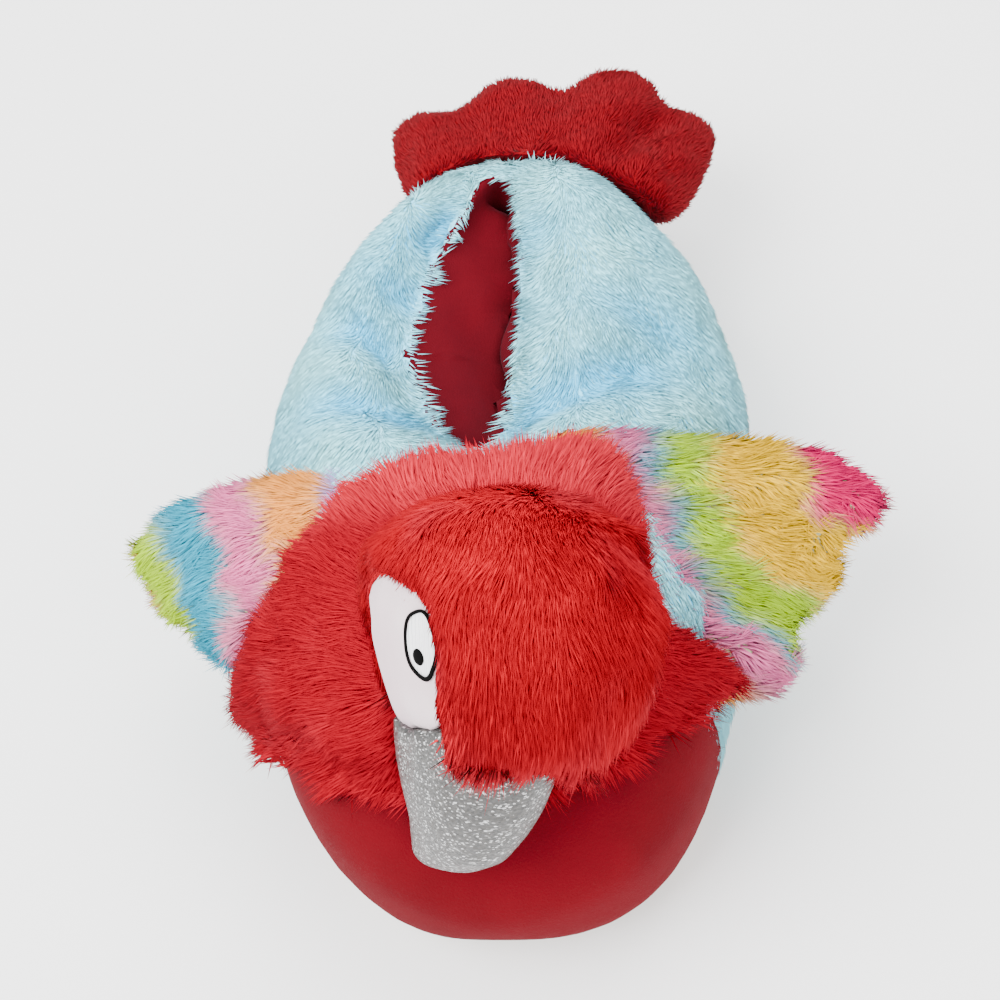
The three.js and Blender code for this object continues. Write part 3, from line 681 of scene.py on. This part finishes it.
# Painted highlight in coral: random streaks, and more towards the slit
painted_sheen = 0.25 * smooth_step(drift(spots * (1, 1, 0.4), 22 * MM, 41), 0.2, 1.6)
painted_sheen += 0.7 * smooth_step(spots[:, 1], -48 * MM, -30 * MM) * (1 - painted_sheen)
chest_pile = pile("chest_pile", chest, count=33000, width=0.8 * MM, length=10 * MM, lay=lay, lean=0.74,
                  seed=111, cover=smooth_step(normals[:, 2], -0.35, 0.1),
                  dye_and_painted_light=mixed(CHEST_RED, CORAL_SHEEN, painted_sheen), swirl=0.35, swirl_size=20 * MM)

# %% [markdown]
# The head nods to one side, so it has its own directions: forward along the beak, up to the crown
# and right to the cheek that shows. Everything on it is placed in those, in millimetres from the
# beak's root.

# %% The head's own directions
BEAK_ROOT = np.array([2, -107, 108]) * MM
HEAD_FORWARD = np.array([-0.071, -0.730, -0.679])
HEAD_UP = np.array([0.630, -0.561, 0.537])
HEAD_RIGHT = np.array([-0.774, -0.390, 0.500])
CHEEKS = (("right", 1), ("left", -1))


def head_frame(points):
    """Forward, up and right of each point, in millimetres from the beak's root."""
    offset = (points - BEAK_ROOT) / MM
    return offset @ HEAD_FORWARD, offset @ HEAD_UP, offset @ HEAD_RIGHT


def head_place(forward, up, right):
    """The places in metres that lie so far forward, up and right."""
    spread = [np.reshape(value, (-1, 1)) for value in (forward, up, right)]
    return BEAK_ROOT + (spread[0] * HEAD_FORWARD + spread[1] * HEAD_UP + spread[2] * HEAD_RIGHT) * MM


# %% [markdown]
# A white cheek patch lies on each side of the head: an oval, drawn out to a corner at the beak's
# root. The head, the eye and the hair around it all need to know the patch's surface, so a small
# least-squares fit reads it off the CAD patch, as the distance out from the head's middle plane over
# a place on the cheek.

# %% The cheek patch's outline
PATCH_MIDDLE = (-22, -7.5)
PATCH_HALF = (20, 23.5)
PATCH_SQUARENESS = 2.4
PATCH_MEAN_HALF = 21
CORNER_WAY = math.radians(-50)
CORNER_REACH = 0.5


def on_patch(forward, up):
    """A place on the cheek in shares of the oval's half length and half height."""
    return (forward - PATCH_MIDDLE[0]) / PATCH_HALF[0], (up - PATCH_MIDDLE[1]) / PATCH_HALF[1]


def with_corner(forward, up, undo=False):
    ahead, above = on_patch(forward, up)
    corner = smooth_step(np.cos(np.arctan2(above, ahead) - CORNER_WAY), 0.55, 1.0)
    size = (1 + CORNER_REACH * corner) ** (-1 if undo else 1)
    return ahead * size * PATCH_HALF[0] + PATCH_MIDDLE[0], above * size * PATCH_HALF[1] + PATCH_MIDDLE[1]


def from_patch_edge(forward, up):
    """How far a place on the cheek lies outside the patch, in millimetres."""
    ahead, above = on_patch(*with_corner(forward, up, undo=True))
    size = (np.abs(ahead) ** PATCH_SQUARENESS + np.abs(above) ** PATCH_SQUARENESS) ** (1 / PATCH_SQUARENESS)
    return (size - 1) * PATCH_MEAN_HALF


def curve_terms(forward, up):
    forward, up = np.asarray(forward, float), np.asarray(up, float)
    return np.stack([1 + 0 * forward, forward, up, forward**2, forward * up, up**2], -1)


# %% Cheek patches
patches, cheeks = {}, {}
for side, sign in CHEEKS:
    patch = backing("cheek_patch_" + side, ["eye_patch_" + side], 1.2 * MM, 4)
    forward, up, right = head_frame(points_of(patch))
    outer = (normals_of(patch) @ HEAD_RIGHT) * sign > 0.75
    terms = curve_terms(forward[outer], up[outer])
    cheeks[side] = np.linalg.lstsq(terms, right[outer] * sign, rcond=None)[0]
    old_level = curve_terms(forward, up) @ cheeks[side]
    forward, up = with_corner(forward, up)
    new_level = curve_terms(forward, up) @ cheeks[side]
    move_points(patch, head_place(forward, up, right + sign * (new_level - old_level)))
    patch.data.materials.append(white_cloth)
    patches[side] = patch
    print(side, "cheek stands out", (curve_terms(-28, 5) @ cheeks[side]).round(1), "mm")

# %% [markdown]
# The head is a ball of the same pile on a stuffed core. Around the cheek patches its surface comes
# down to the patch's own level, as a stitched seam draws it in, and its front is pressed back behind
# the beak's root.

# %% The head's core
SEAM_DEPTH = 1.2
SEAM_REACH = 18
CHEEK_SWELL = 6.5
FRONT = -8
FRONT_SQUASH = 0.7
FAR_OFF = 99.0

head = backing("head_backing", ["head"], 3.0 * MM, 90)
along_normals(head, -0.6 * MM + drift(points_of(head), 24 * MM, 50) * 0.6 * MM)
forward, up, right = head_frame(points_of(head))
patch_distance = np.full(len(forward), FAR_OFF)
for side, sign in CHEEKS:
    level = curve_terms(forward, up) @ cheeks[side]
    away = from_patch_edge(forward, up)
    on_side = (right * sign > 6) & (away < SEAM_REACH)
    allowed = level - SEAM_DEPTH + CHEEK_SWELL * smooth_step(away, 0, SEAM_REACH)
    allowed += 40 * smooth_step(up, 15, 27)
    right = np.where(on_side, sign * np.minimum(right * sign, allowed), right)
    patch_distance = np.where(right * sign > 11, np.minimum(patch_distance, away), patch_distance)
pressed = np.where(forward > FRONT, FRONT + (forward - FRONT) * FRONT_SQUASH, forward)
move_points(head, head_place(pressed, up, right))
head.data.materials.append(red_cloth)

# %% [markdown]
# The coat flows from the nape over the crown and hangs forward in tufts across the root of the beak.
# Beside a cheek patch it turns along the patch's edge, so that the white stays clear. The crown is
# the strongest red. The flanks, which face away from the top, and the fringe's tufts are painted paler
# in coral: painted highlights, the sheen of pile seen edge-on.

# %% The head's coat
NAPE = head_place(-95, 0, -10)
NAPE_LAY = (-0.05, -0.97, -0.05)

spots, normals = points_of(head), normals_of(head)
past_nape = smooth_step(forward, -64, -34)
lay = mixed(NAPE_LAY, unit(spots - NAPE) * 0.25 + HEAD_FORWARD, past_nape)
beside_patch = (1 - smooth_step(patch_distance, 2, 12)) * smooth_step(np.abs(right), 12, 19)
droop = np.where(on_patch(forward, up)[1] > 0, -0.25, -0.9)[:, None]
lay = mixed(unit(lay), unit(HEAD_FORWARD + HEAD_UP * droop), beside_patch)
clumps = smooth_step(drift(head_place(0, up, right), 9 * MM, 54), -0.6, 1.2)
fringe = smooth_step(forward, -16, -2) * smooth_step(patch_distance, 2, 8)
reach = (0.5 + 0.5 * smooth_step(patch_distance, 1, 14)) * (1 + fringe * (0.9 * clumps - 0.35))
lean = 0.8 + 0.05 * beside_patch + 0.1 * (1 - smooth_step(forward, -58, -40))
below_patch = (right > 7) & (forward > -11) & (up < 5)
head_cover = smooth_step(patch_distance, 0.3, 1.5) * smooth_step(normals[:, 2] + 0.9, 0, 0.3) * ~below_patch
# Off the up-facing crown the flanks get a painted highlight in coral, as do the fringe's tufts
crown = smooth_step(normals @ unit(np.array([0.1, -0.3, 1.0])), 0.35, 0.8)
painted_sheen = 0.5 * (1 - crown) * smooth_step(drift(spots, 20 * MM, 51), -0.4, 1.0)
painted_sheen = np.maximum(painted_sheen, 0.6 * fringe * clumps)
head_pile = pile("head_pile", head, count=43000, width=0.8 * MM, length=10 * MM, lay=lay, lean=lean,
                 seed=121, cover=head_cover, reach=reach, dye_and_painted_light=mixed(SCARLET, CORAL_SHEEN, painted_sheen), swirl=0.2,
                 swirl_size=20 * MM, stray=0.13)

# %% [markdown]
# The eye is embroidered: a satin-stitched white oval, a ring of black thread round it, and a small
# pupil. Each is modelled flat, as a primitive in the cheek's own forward and up directions, and is
# then laid on the cheek's fitted curve.

# %% Threads for the embroidery
thread, nodes, links, shader = new_material("black_thread")
shader.inputs["Base Color"].default_value = (0.002, 0.002, 0.002, 1)
shader.inputs["Roughness"].default_value = 0.9
shader.inputs["Specular IOR Level"].default_value = 0.05
satin, nodes, links, shader = new_material("white_thread")
place = nodes.new("ShaderNodeTexCoord").outputs["Object"]
stitches = nodes.new("ShaderNodeTexWave")
stitches.inputs["Scale"].default_value = 300
stitches.inputs["Distortion"].default_value = 2
links.new(place, stitches.inputs["Vector"])
bumped(nodes, links, shader, stitches.outputs["Fac"], strength=1.0, distance=0.3 * MM)
shader.inputs["Base Color"].default_value = (0.88, 0.88, 0.90, 1)
shader.inputs["Roughness"].default_value = 0.45


# %% Helpers: a primitive, and laying it on the cheek
def primitive(name, maker, **sizes):
    bpy.ops.object.select_all(action="DESELECT")
    maker(**sizes)
    piece = bpy.context.object
    piece.name = name
    return piece


def on_cheek(piece, side, sign, middle, lift):
    points = points_of(piece)
    forward, up = middle[0] + points[:, 0], middle[1] + points[:, 1]
    right = curve_terms(forward, up) @ cheeks[side] + lift + points[:, 2]
    move_points(piece, head_place(forward, up, right * sign))
    if sign < 0:
        only(piece)
        bpy.ops.object.mode_set(mode="EDIT")
        bpy.ops.mesh.select_all(action="SELECT")
        bpy.ops.mesh.flip_normals()
        bpy.ops.object.mode_set(mode="OBJECT")
    bpy.ops.object.shade_smooth()


# %% Embroidered eyes
# Half sizes forward, up and out of the cheek, and lifts off it, in millimetres
EYE_MIDDLES = {"right": (-27.8, 8.2), "left": (-27.8, 2.0)}
WHITE_HALF, WHITE_LIFT = (8.4, 5.9, 0.7), 0.1
RING_HALF, RING_THREAD, RING_LIFT = (8.6, 6.0), (6.2, 5.5), 0.6
PUPIL_HALF, PUPIL_LIFT = (2.2, 2.1, 0.6), 0.75
PUPIL_SHIFT = (3.2, -0.4)


def eye_ring(name):
    """A ring of thread that is thicker ahead and not quite even, as a sewn one is."""
    ring = primitive(name, bpy.ops.mesh.primitive_torus_add, major_segments=72, minor_segments=10,
                     major_radius=1, minor_radius=0.075)
    points = points_of(ring)
    heavy = 1 + 0.35 * smooth_step(points[:, 0], 0.2, 1)
    across = np.linalg.norm(points[:, :2], axis=1, keepdims=True)
    spine = points[:, :2] / across
    wobble = 1 + 0.03 * np.sin(5 * np.arctan2(spine[:, 1], spine[:, 0]))
    flat = spine * RING_HALF * wobble[:, None] + spine * (across - 1) * RING_THREAD[0] * heavy[:, None]
    move_points(ring, np.column_stack([flat, points[:, 2] * RING_THREAD[1]]))
    return ring


eyes = []
for side, sign in CHEEKS:
    middle = EYE_MIDDLES[side]
    white = primitive("eye_white_" + side, bpy.ops.mesh.primitive_uv_sphere_add, segments=40,
                      ring_count=16, radius=1)
    move_points(white, points_of(white) * WHITE_HALF)
    on_cheek(white, side, sign, middle, WHITE_LIFT)
    white.data.materials.append(satin)
    ring = eye_ring("eye_ring_" + side)
    on_cheek(ring, side, sign, middle, RING_LIFT)
    pupil = primitive("pupil_" + side, bpy.ops.mesh.primitive_uv_sphere_add, segments=20,
                      ring_count=10, radius=1)
    move_points(pupil, points_of(pupil) * PUPIL_HALF)
    pupil_middle = (middle[0] + PUPIL_SHIFT[0], middle[1] + PUPIL_SHIFT[1])
    on_cheek(pupil, side, sign, pupil_middle, PUPIL_LIFT)
    for piece in (ring, pupil):
        piece.data.materials.append(thread)
    eyes += [white, ring, pupil]
print("eye pieces:", len(eyes))

# %% [markdown]
# The beak is a stuffed hook of silver fabric. Its root is drawn back into the head, most above, so
# that no gap shows under the fringe. The cloth's short metal threads each catch the light at their
# own angle. Here every small Voronoi cell is one thread: its random colour tips its normal, which
# makes the cloth glitter as the view moves, and it sets how bright the thread is, so that a few cells
# are painted glints, far brighter than the rest.

# %% Beak
beak = backing("silver_beak", ["beak"], 1.4 * MM, 10)
forward, up, right = head_frame(points_of(beak))
root = 1 - smooth_step(forward, -2, 10)
set_back = 8 + 8 * smooth_step(up, -8, 8)
move_points(beak, head_place(forward - set_back * root, up * (1 + 0.04 * root), right * (1 + 0.14 * root)))


# %% Silver fabric
def silver_material():
    material, nodes, links, shader = new_material("silver_glitter")
    place = nodes.new("ShaderNodeTexCoord").outputs["Object"]
    weave = nodes.new("ShaderNodeMapping")
    weave.inputs["Rotation"].default_value = (0.75, 0.3, 0.5)
    weave.inputs["Scale"].default_value = (1.0, 2.0, 2.0)
    links.new(place, weave.inputs["Vector"])
    threads = nodes.new("ShaderNodeTexVoronoi")
    threads.inputs["Scale"].default_value = 1300
    threads.inputs["Randomness"].default_value = 0.45
    links.new(weave.outputs[0], threads.inputs["Vector"])
    chance = threads.outputs["Color"]
    split = nodes.new("ShaderNodeSeparateColor")
    links.new(chance, split.inputs[0])
    # The few brightest threads are painted glints, standing in for threads that catch the light
    dull, painted_glint, fair = (0.07, 0.07, 0.07), (0.62, 0.62, 0.62), (0.10, 0.095, 0.09)
    silver = ramp(nodes, links, split.outputs[0], (0.0, dull), (1.0, painted_glint), (0.84, fair))
    links.new(silver, shader.inputs["Base Color"])
    normal = nodes.new("ShaderNodeNewGeometry").outputs["Normal"]
    centred = worked_out(nodes, links, "VectorMath", "SUBTRACT", chance, (0.5, 0.5, 0.5))
    tipped = worked_out(nodes, links, "VectorMath", "MULTIPLY_ADD", centred, (0.55, 0.55, 0.55), normal)
    links.new(worked_out(nodes, links, "VectorMath", "NORMALIZE", tipped), shader.inputs["Normal"])
    shader.inputs["Metallic"].default_value = 0.7
    shader.inputs["Roughness"].default_value = 0.35
    return material


beak.data.materials.append(silver_material())

# %% [markdown]
# The wings are stuffed lobes in rainbow pile. The dye runs in bands that circle the tip, so each
# point of the backing takes its colour from its distance to the tip. Between two bands the colours
# mix into a paler one. Each wing's root is drawn in under the chest, so that no gap opens there.

# %% The wings' dyes and tables
MAGENTA, YELLOW, LIME = (0.80, 0.0, 0.13), (0.95, 0.55, 0.0), (0.42, 0.68, 0.0)
TEAL, PINK, ORANGE = (0.02, 0.36, 0.52), (0.80, 0.16, 0.36), (0.95, 0.34, 0.05)
LILAC, PALE = (0.42, 0.30, 0.70), (0.78, 0.72, 0.50)
# Each wing's tip, its side, how far out its root starts and ends, how its root is drawn towards the
# head, and where its bands start, in millimetres from the tip
WINGS = {
    "right": ((-108, -34, 52), -1, (68, 46), (14, 4, -3),
              [(0, MAGENTA), (9, YELLOW), (14, LIME), (26, TEAL), (42, PINK), (55, ORANGE), (70, LILAC)]),
    "left": ((101.5, -3.6, 75), 1, (78, 52), (-34, 0, 9),
             [(0, MAGENTA), (19, YELLOW), (44, LIME), (57, TEAL), (62, PINK), (73, ORANGE)]),
}
BAND_BLUR = 1.2
BAND_EDGE = 2.0


def banded(points, tip, bands, seed):
    far = np.linalg.norm(points - np.array(tip) * MM, axis=1) / MM + drift(points, 20 * MM, seed) * 2.0
    colour = np.tile(np.array(bands[0][1], float), (len(points), 1))
    for start, paint in bands[1:]:
        colour = mixed(colour, paint, smooth_step(far, start - BAND_BLUR, start + BAND_BLUR))
        colour = mixed(colour, PALE, 0.25 * np.exp(-(((far - start) / BAND_EDGE) ** 2)))
    return colour


# %% Wings
wing_pieces = []
for side, (tip, way, root_reach, root_shift, bands) in WINGS.items():
    wing = backing("wing_backing_" + side, ["wing_" + side], 2.4 * MM, 10)
    along_normals(wing, -2.2 * MM + drift(points_of(wing), 11 * MM, 60) * 0.5 * MM)
    spots = points_of(wing)
    root = smooth_step(-way * spots[:, 0], -root_reach[0] * MM, -root_reach[1] * MM)[:, None]
    move_points(wing, spots + root * np.array(root_shift) * MM)
    wing.data.materials.append(rainbow_cloth)
    wing_dye = banded(points_of(wing), tip, bands, 61 + way)
    wing_pile = pile("wing_pile_" + side, wing, count=16000, width=0.9 * MM, length=8.5 * MM,
                     lay=(way * 0.9, -0.25, -0.35), lean=0.74, seed=131 + way, dye_and_painted_light=wing_dye,
                     swirl=0.45, swirl_size=15 * MM)
    wing_pieces.append((wing, wing_pile))

# %% [markdown]
# The tail is a fan of flat lobes in short crimson plush. Its outer part is spread a little and moved
# back from the heel, and two folds run between its lobes.

# %% Tail
TAIL_MIDDLE = 12 * MM
TAIL_SPREAD = 0.12
TAIL_BACK = 6 * MM
FOLD_DEPTH = 4.5 * MM

tail = backing("tail_backing", ["tail"], 2.6 * MM, 18)
spots = points_of(tail)
outer = smooth_step(spots[:, 1], 130 * MM, 154 * MM)
spread = (spots[:, 0] - TAIL_MIDDLE) * TAIL_SPREAD * outer
move_points(tail, spots + columns(spread, TAIL_BACK * outer, 0.0))
along_normals(tail, -1.4 * MM + drift(points_of(tail), 16 * MM, 70) * 0.6 * MM)
tail.data.materials.append(tail_cloth)
spots = points_of(tail)
folded = line_near(spots, (33, 126), (52, 152), 5) + 0.7 * line_near(spots, (-6, 150), (2, 128), 5)
along_normals(tail, -FOLD_DEPTH * folded * smooth_step(normals_of(tail)[:, 2], 0.1, 0.6))
lay = columns(0.01 * points_of(tail)[:, 0] / MM, 1.0, -0.2)
tail_piece = pile("tail_pile", tail, count=20500, width=0.75 * MM, length=4.5 * MM, lay=lay, lean=0.78,
                  seed=141, dye_and_painted_light=TAIL_RED, swirl=0.35)

# %% [markdown]
# The sole is beige canvas with white dots, printed on a lattice of equilateral triangles. Two Wrap
# nodes fold the whole sole into one cell each, so the print is two rectangular rows of dots, the
# second half a cell on, and needs no image. Only faces that look down are printed.


# %% Dotted canvas
def canvas_material():
    material, nodes, links, shader = new_material("dotted_canvas")
    place = nodes.new("ShaderNodeTexCoord").outputs["Object"]
    pitch = 19.5 * MM
    dot_inside, dot_outside = 2.3 * MM, 2.7 * MM
    cell = (pitch, pitch * math.sqrt(3), 1)
    far_corner, near_corner = tuple(size / 2 for size in cell), tuple(-size / 2 for size in cell)
    from_dots = []
    for share in (0.0, 0.5):
        shift = (cell[0] * share, cell[1] * share, 0)
        moved = worked_out(nodes, links, "VectorMath", "MULTIPLY_ADD", place, (1, 1, 0), shift)
        wrapped = worked_out(nodes, links, "VectorMath", "WRAP", moved, far_corner, near_corner)
        from_dots.append(worked_out(nodes, links, "VectorMath", "LENGTH", wrapped))
    nearest = worked_out(nodes, links, "Math", "MINIMUM", *from_dots)
    dot = nodes.new("ShaderNodeMapRange")
    dot.inputs["From Min"].default_value = dot_inside
    dot.inputs["From Max"].default_value = dot_outside
    dot.inputs["To Min"].default_value = 1
    dot.inputs["To Max"].default_value = 0
    links.new(nearest, dot.inputs["Value"])
    facing = nodes.new("ShaderNodeSeparateXYZ")
    links.new(nodes.new("ShaderNodeNewGeometry").outputs["Normal"], facing.inputs[0])
    downward = worked_out(nodes, links, "Math", "LESS_THAN", facing.outputs["Z"], -0.5)
    printed = worked_out(nodes, links, "Math", "MULTIPLY", dot.outputs["Result"], downward)
    slub = noise(nodes, links, place, scale=500, detail=4)
    linen = ramp(nodes, links, slub, (0.3, (0.42, 0.34, 0.26)), (0.7, (0.62, 0.53, 0.43)))
    dotted = nodes.new("ShaderNodeMix")
    dotted.data_type = "RGBA"
    links.new(printed, dotted.inputs["Factor"])
    links.new(linen, dotted.inputs[6])
    dotted.inputs[7].default_value = (0.88, 0.87, 0.84, 1)
    links.new(dotted.outputs[2], shader.inputs["Base Color"])
    bumped(nodes, links, shader, slub, strength=0.5, distance=0.4 * MM)
    shader.inputs["Roughness"].default_value = 0.9
    shader.inputs["Specular IOR Level"].default_value = 0.2
    return material


# %% Sole and insole
sole = backing("canvas_sole", ["sole"], 2.6 * MM, 2)
sole.data.materials.append(canvas_material())
insole = backing("lining_insole", ["insole"], 3 * MM, 3)
along_normals(insole, 0.6 * MM)
insole.data.materials.append(lining)

# %% [markdown]
# Every piece rides on the part's one body, and the CAD solids it stands in for are hidden. Each
# row also lists a slot name, which the loop doesn't use.

# %% Pile materials and riders
for piece in blue_pieces:
    piece.data.materials.append(blue_pile)
for piece in (chest_pile, head_pile):
    piece.data.materials.append(red_pile)
for wing, wing_pile in wing_pieces:
    wing_pile.data.materials.append(rainbow_pile)
tail_piece.data.materials.append(tail_pile)
RIDERS = [
    (body, "blue_plush", ["upper"]),
    (blue_pieces[0], "blue_plush", []),
    (blue_pieces[1], "blue_plush", []),
    (toe_cap, "crimson_velour", ["toe_panel"]),
    (chest, "red_pile", ["chest"]),
    (chest_pile, "red_pile", []),
    (head, "red_pile", ["head"]),
    (head_pile, "red_pile", []),
    (beak, "silver_glitter", ["beak"]),
    (patches["right"], "white_plush", ["eye_patch_right"]),
    (patches["left"], "white_plush", ["eye_patch_left"]),
    (wing_pieces[0][0], "rainbow_pile", ["wing_right"]),
    (wing_pieces[0][1], "rainbow_pile", []),
    (wing_pieces[1][0], "rainbow_pile", ["wing_left"]),
    (wing_pieces[1][1], "rainbow_pile", []),
    (tail, "red_plush", ["tail"]),
    (tail_piece, "red_plush", []),
    (sole, "sole_canvas", ["sole"]),
    (insole, "lining_velour", ["insole"]),
] + [(piece, "white_plush", []) for piece in eyes]
for piece, slot, nodes in RIDERS:
    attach(piece, "root")
    if nodes:
        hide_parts(*nodes)
bpy.data.objects.remove(spike)
counts = [triangles_of(piece) for piece, _, _ in RIDERS]
print("pieces:", len(RIDERS), "with", sum(counts), "triangles, the largest", max(counts))

# %% [markdown]
# A pale floor, three soft area lights and an even pale world stand in for the photo studio. The
# camera stands where the photograph's did, above the toe and a little to the inner side, and turns
# so that the one shoe fills the frame.

# %% Floor and light
FLOOR_SIZE = 6
WORLD_STRENGTH = 2.0
LIT_SPOT = Vector((0, 0, 0.05))
# Each light's name, place, size and watts
LIGHTS = [
    ("key", (-0.7, -0.5, 1.3), 1.0, 46),
    ("fill", (0.9, -0.8, 0.9), 1.2, 13),
    ("top", (0.2, 0.7, 1.3), 1.0, 20),
]

floor = primitive("studio_floor", bpy.ops.mesh.primitive_plane_add, size=FLOOR_SIZE)
paper, nodes, links, shader = new_material("pale_paper")
shader.inputs["Base Color"].default_value = (0.9, 0.9, 0.9, 1)
shader.inputs["Roughness"].default_value = 0.9
floor.data.materials.append(paper)

world = bpy.data.worlds.new("studio")
bpy.context.scene.world = world
world.use_nodes = True
world.node_tree.nodes["Background"].inputs["Color"].default_value = (1, 1, 1, 1)
world.node_tree.nodes["Background"].inputs["Strength"].default_value = WORLD_STRENGTH
for name, place, size, watts in LIGHTS:
    lamp = bpy.data.lights.new(name, "AREA")
    lamp.size = size
    lamp.energy = watts
    holder = bpy.data.objects.new(name, lamp)
    bpy.context.scene.collection.objects.link(holder)
    holder.location = place
    holder.rotation_euler = (LIT_SPOT - Vector(place)).to_track_quat("-Z", "Y").to_euler()
print("lights:", len(LIGHTS))

# %% Camera
EYE = Vector((57.9, -328.1, 553.0)) * MM
AIM = Vector((-2.0, 2.9, 50.0)) * MM
CAMERA_ROLL = -9.76
LENS = 69

camera = bpy.data.objects.new("camera", bpy.data.cameras.new("camera"))
bpy.context.scene.collection.objects.link(camera)
camera.data.lens = LENS
camera.location = EYE
camera.rotation_mode = "QUATERNION"
roll = Quaternion((0, 0, 1), math.radians(CAMERA_ROLL))
camera.rotation_quaternion = (AIM - EYE).to_track_quat("-Z", "Y") @ roll
bpy.context.scene.camera = camera
print("camera:", round((AIM - EYE).length / MM), "mm from the shoe's middle")
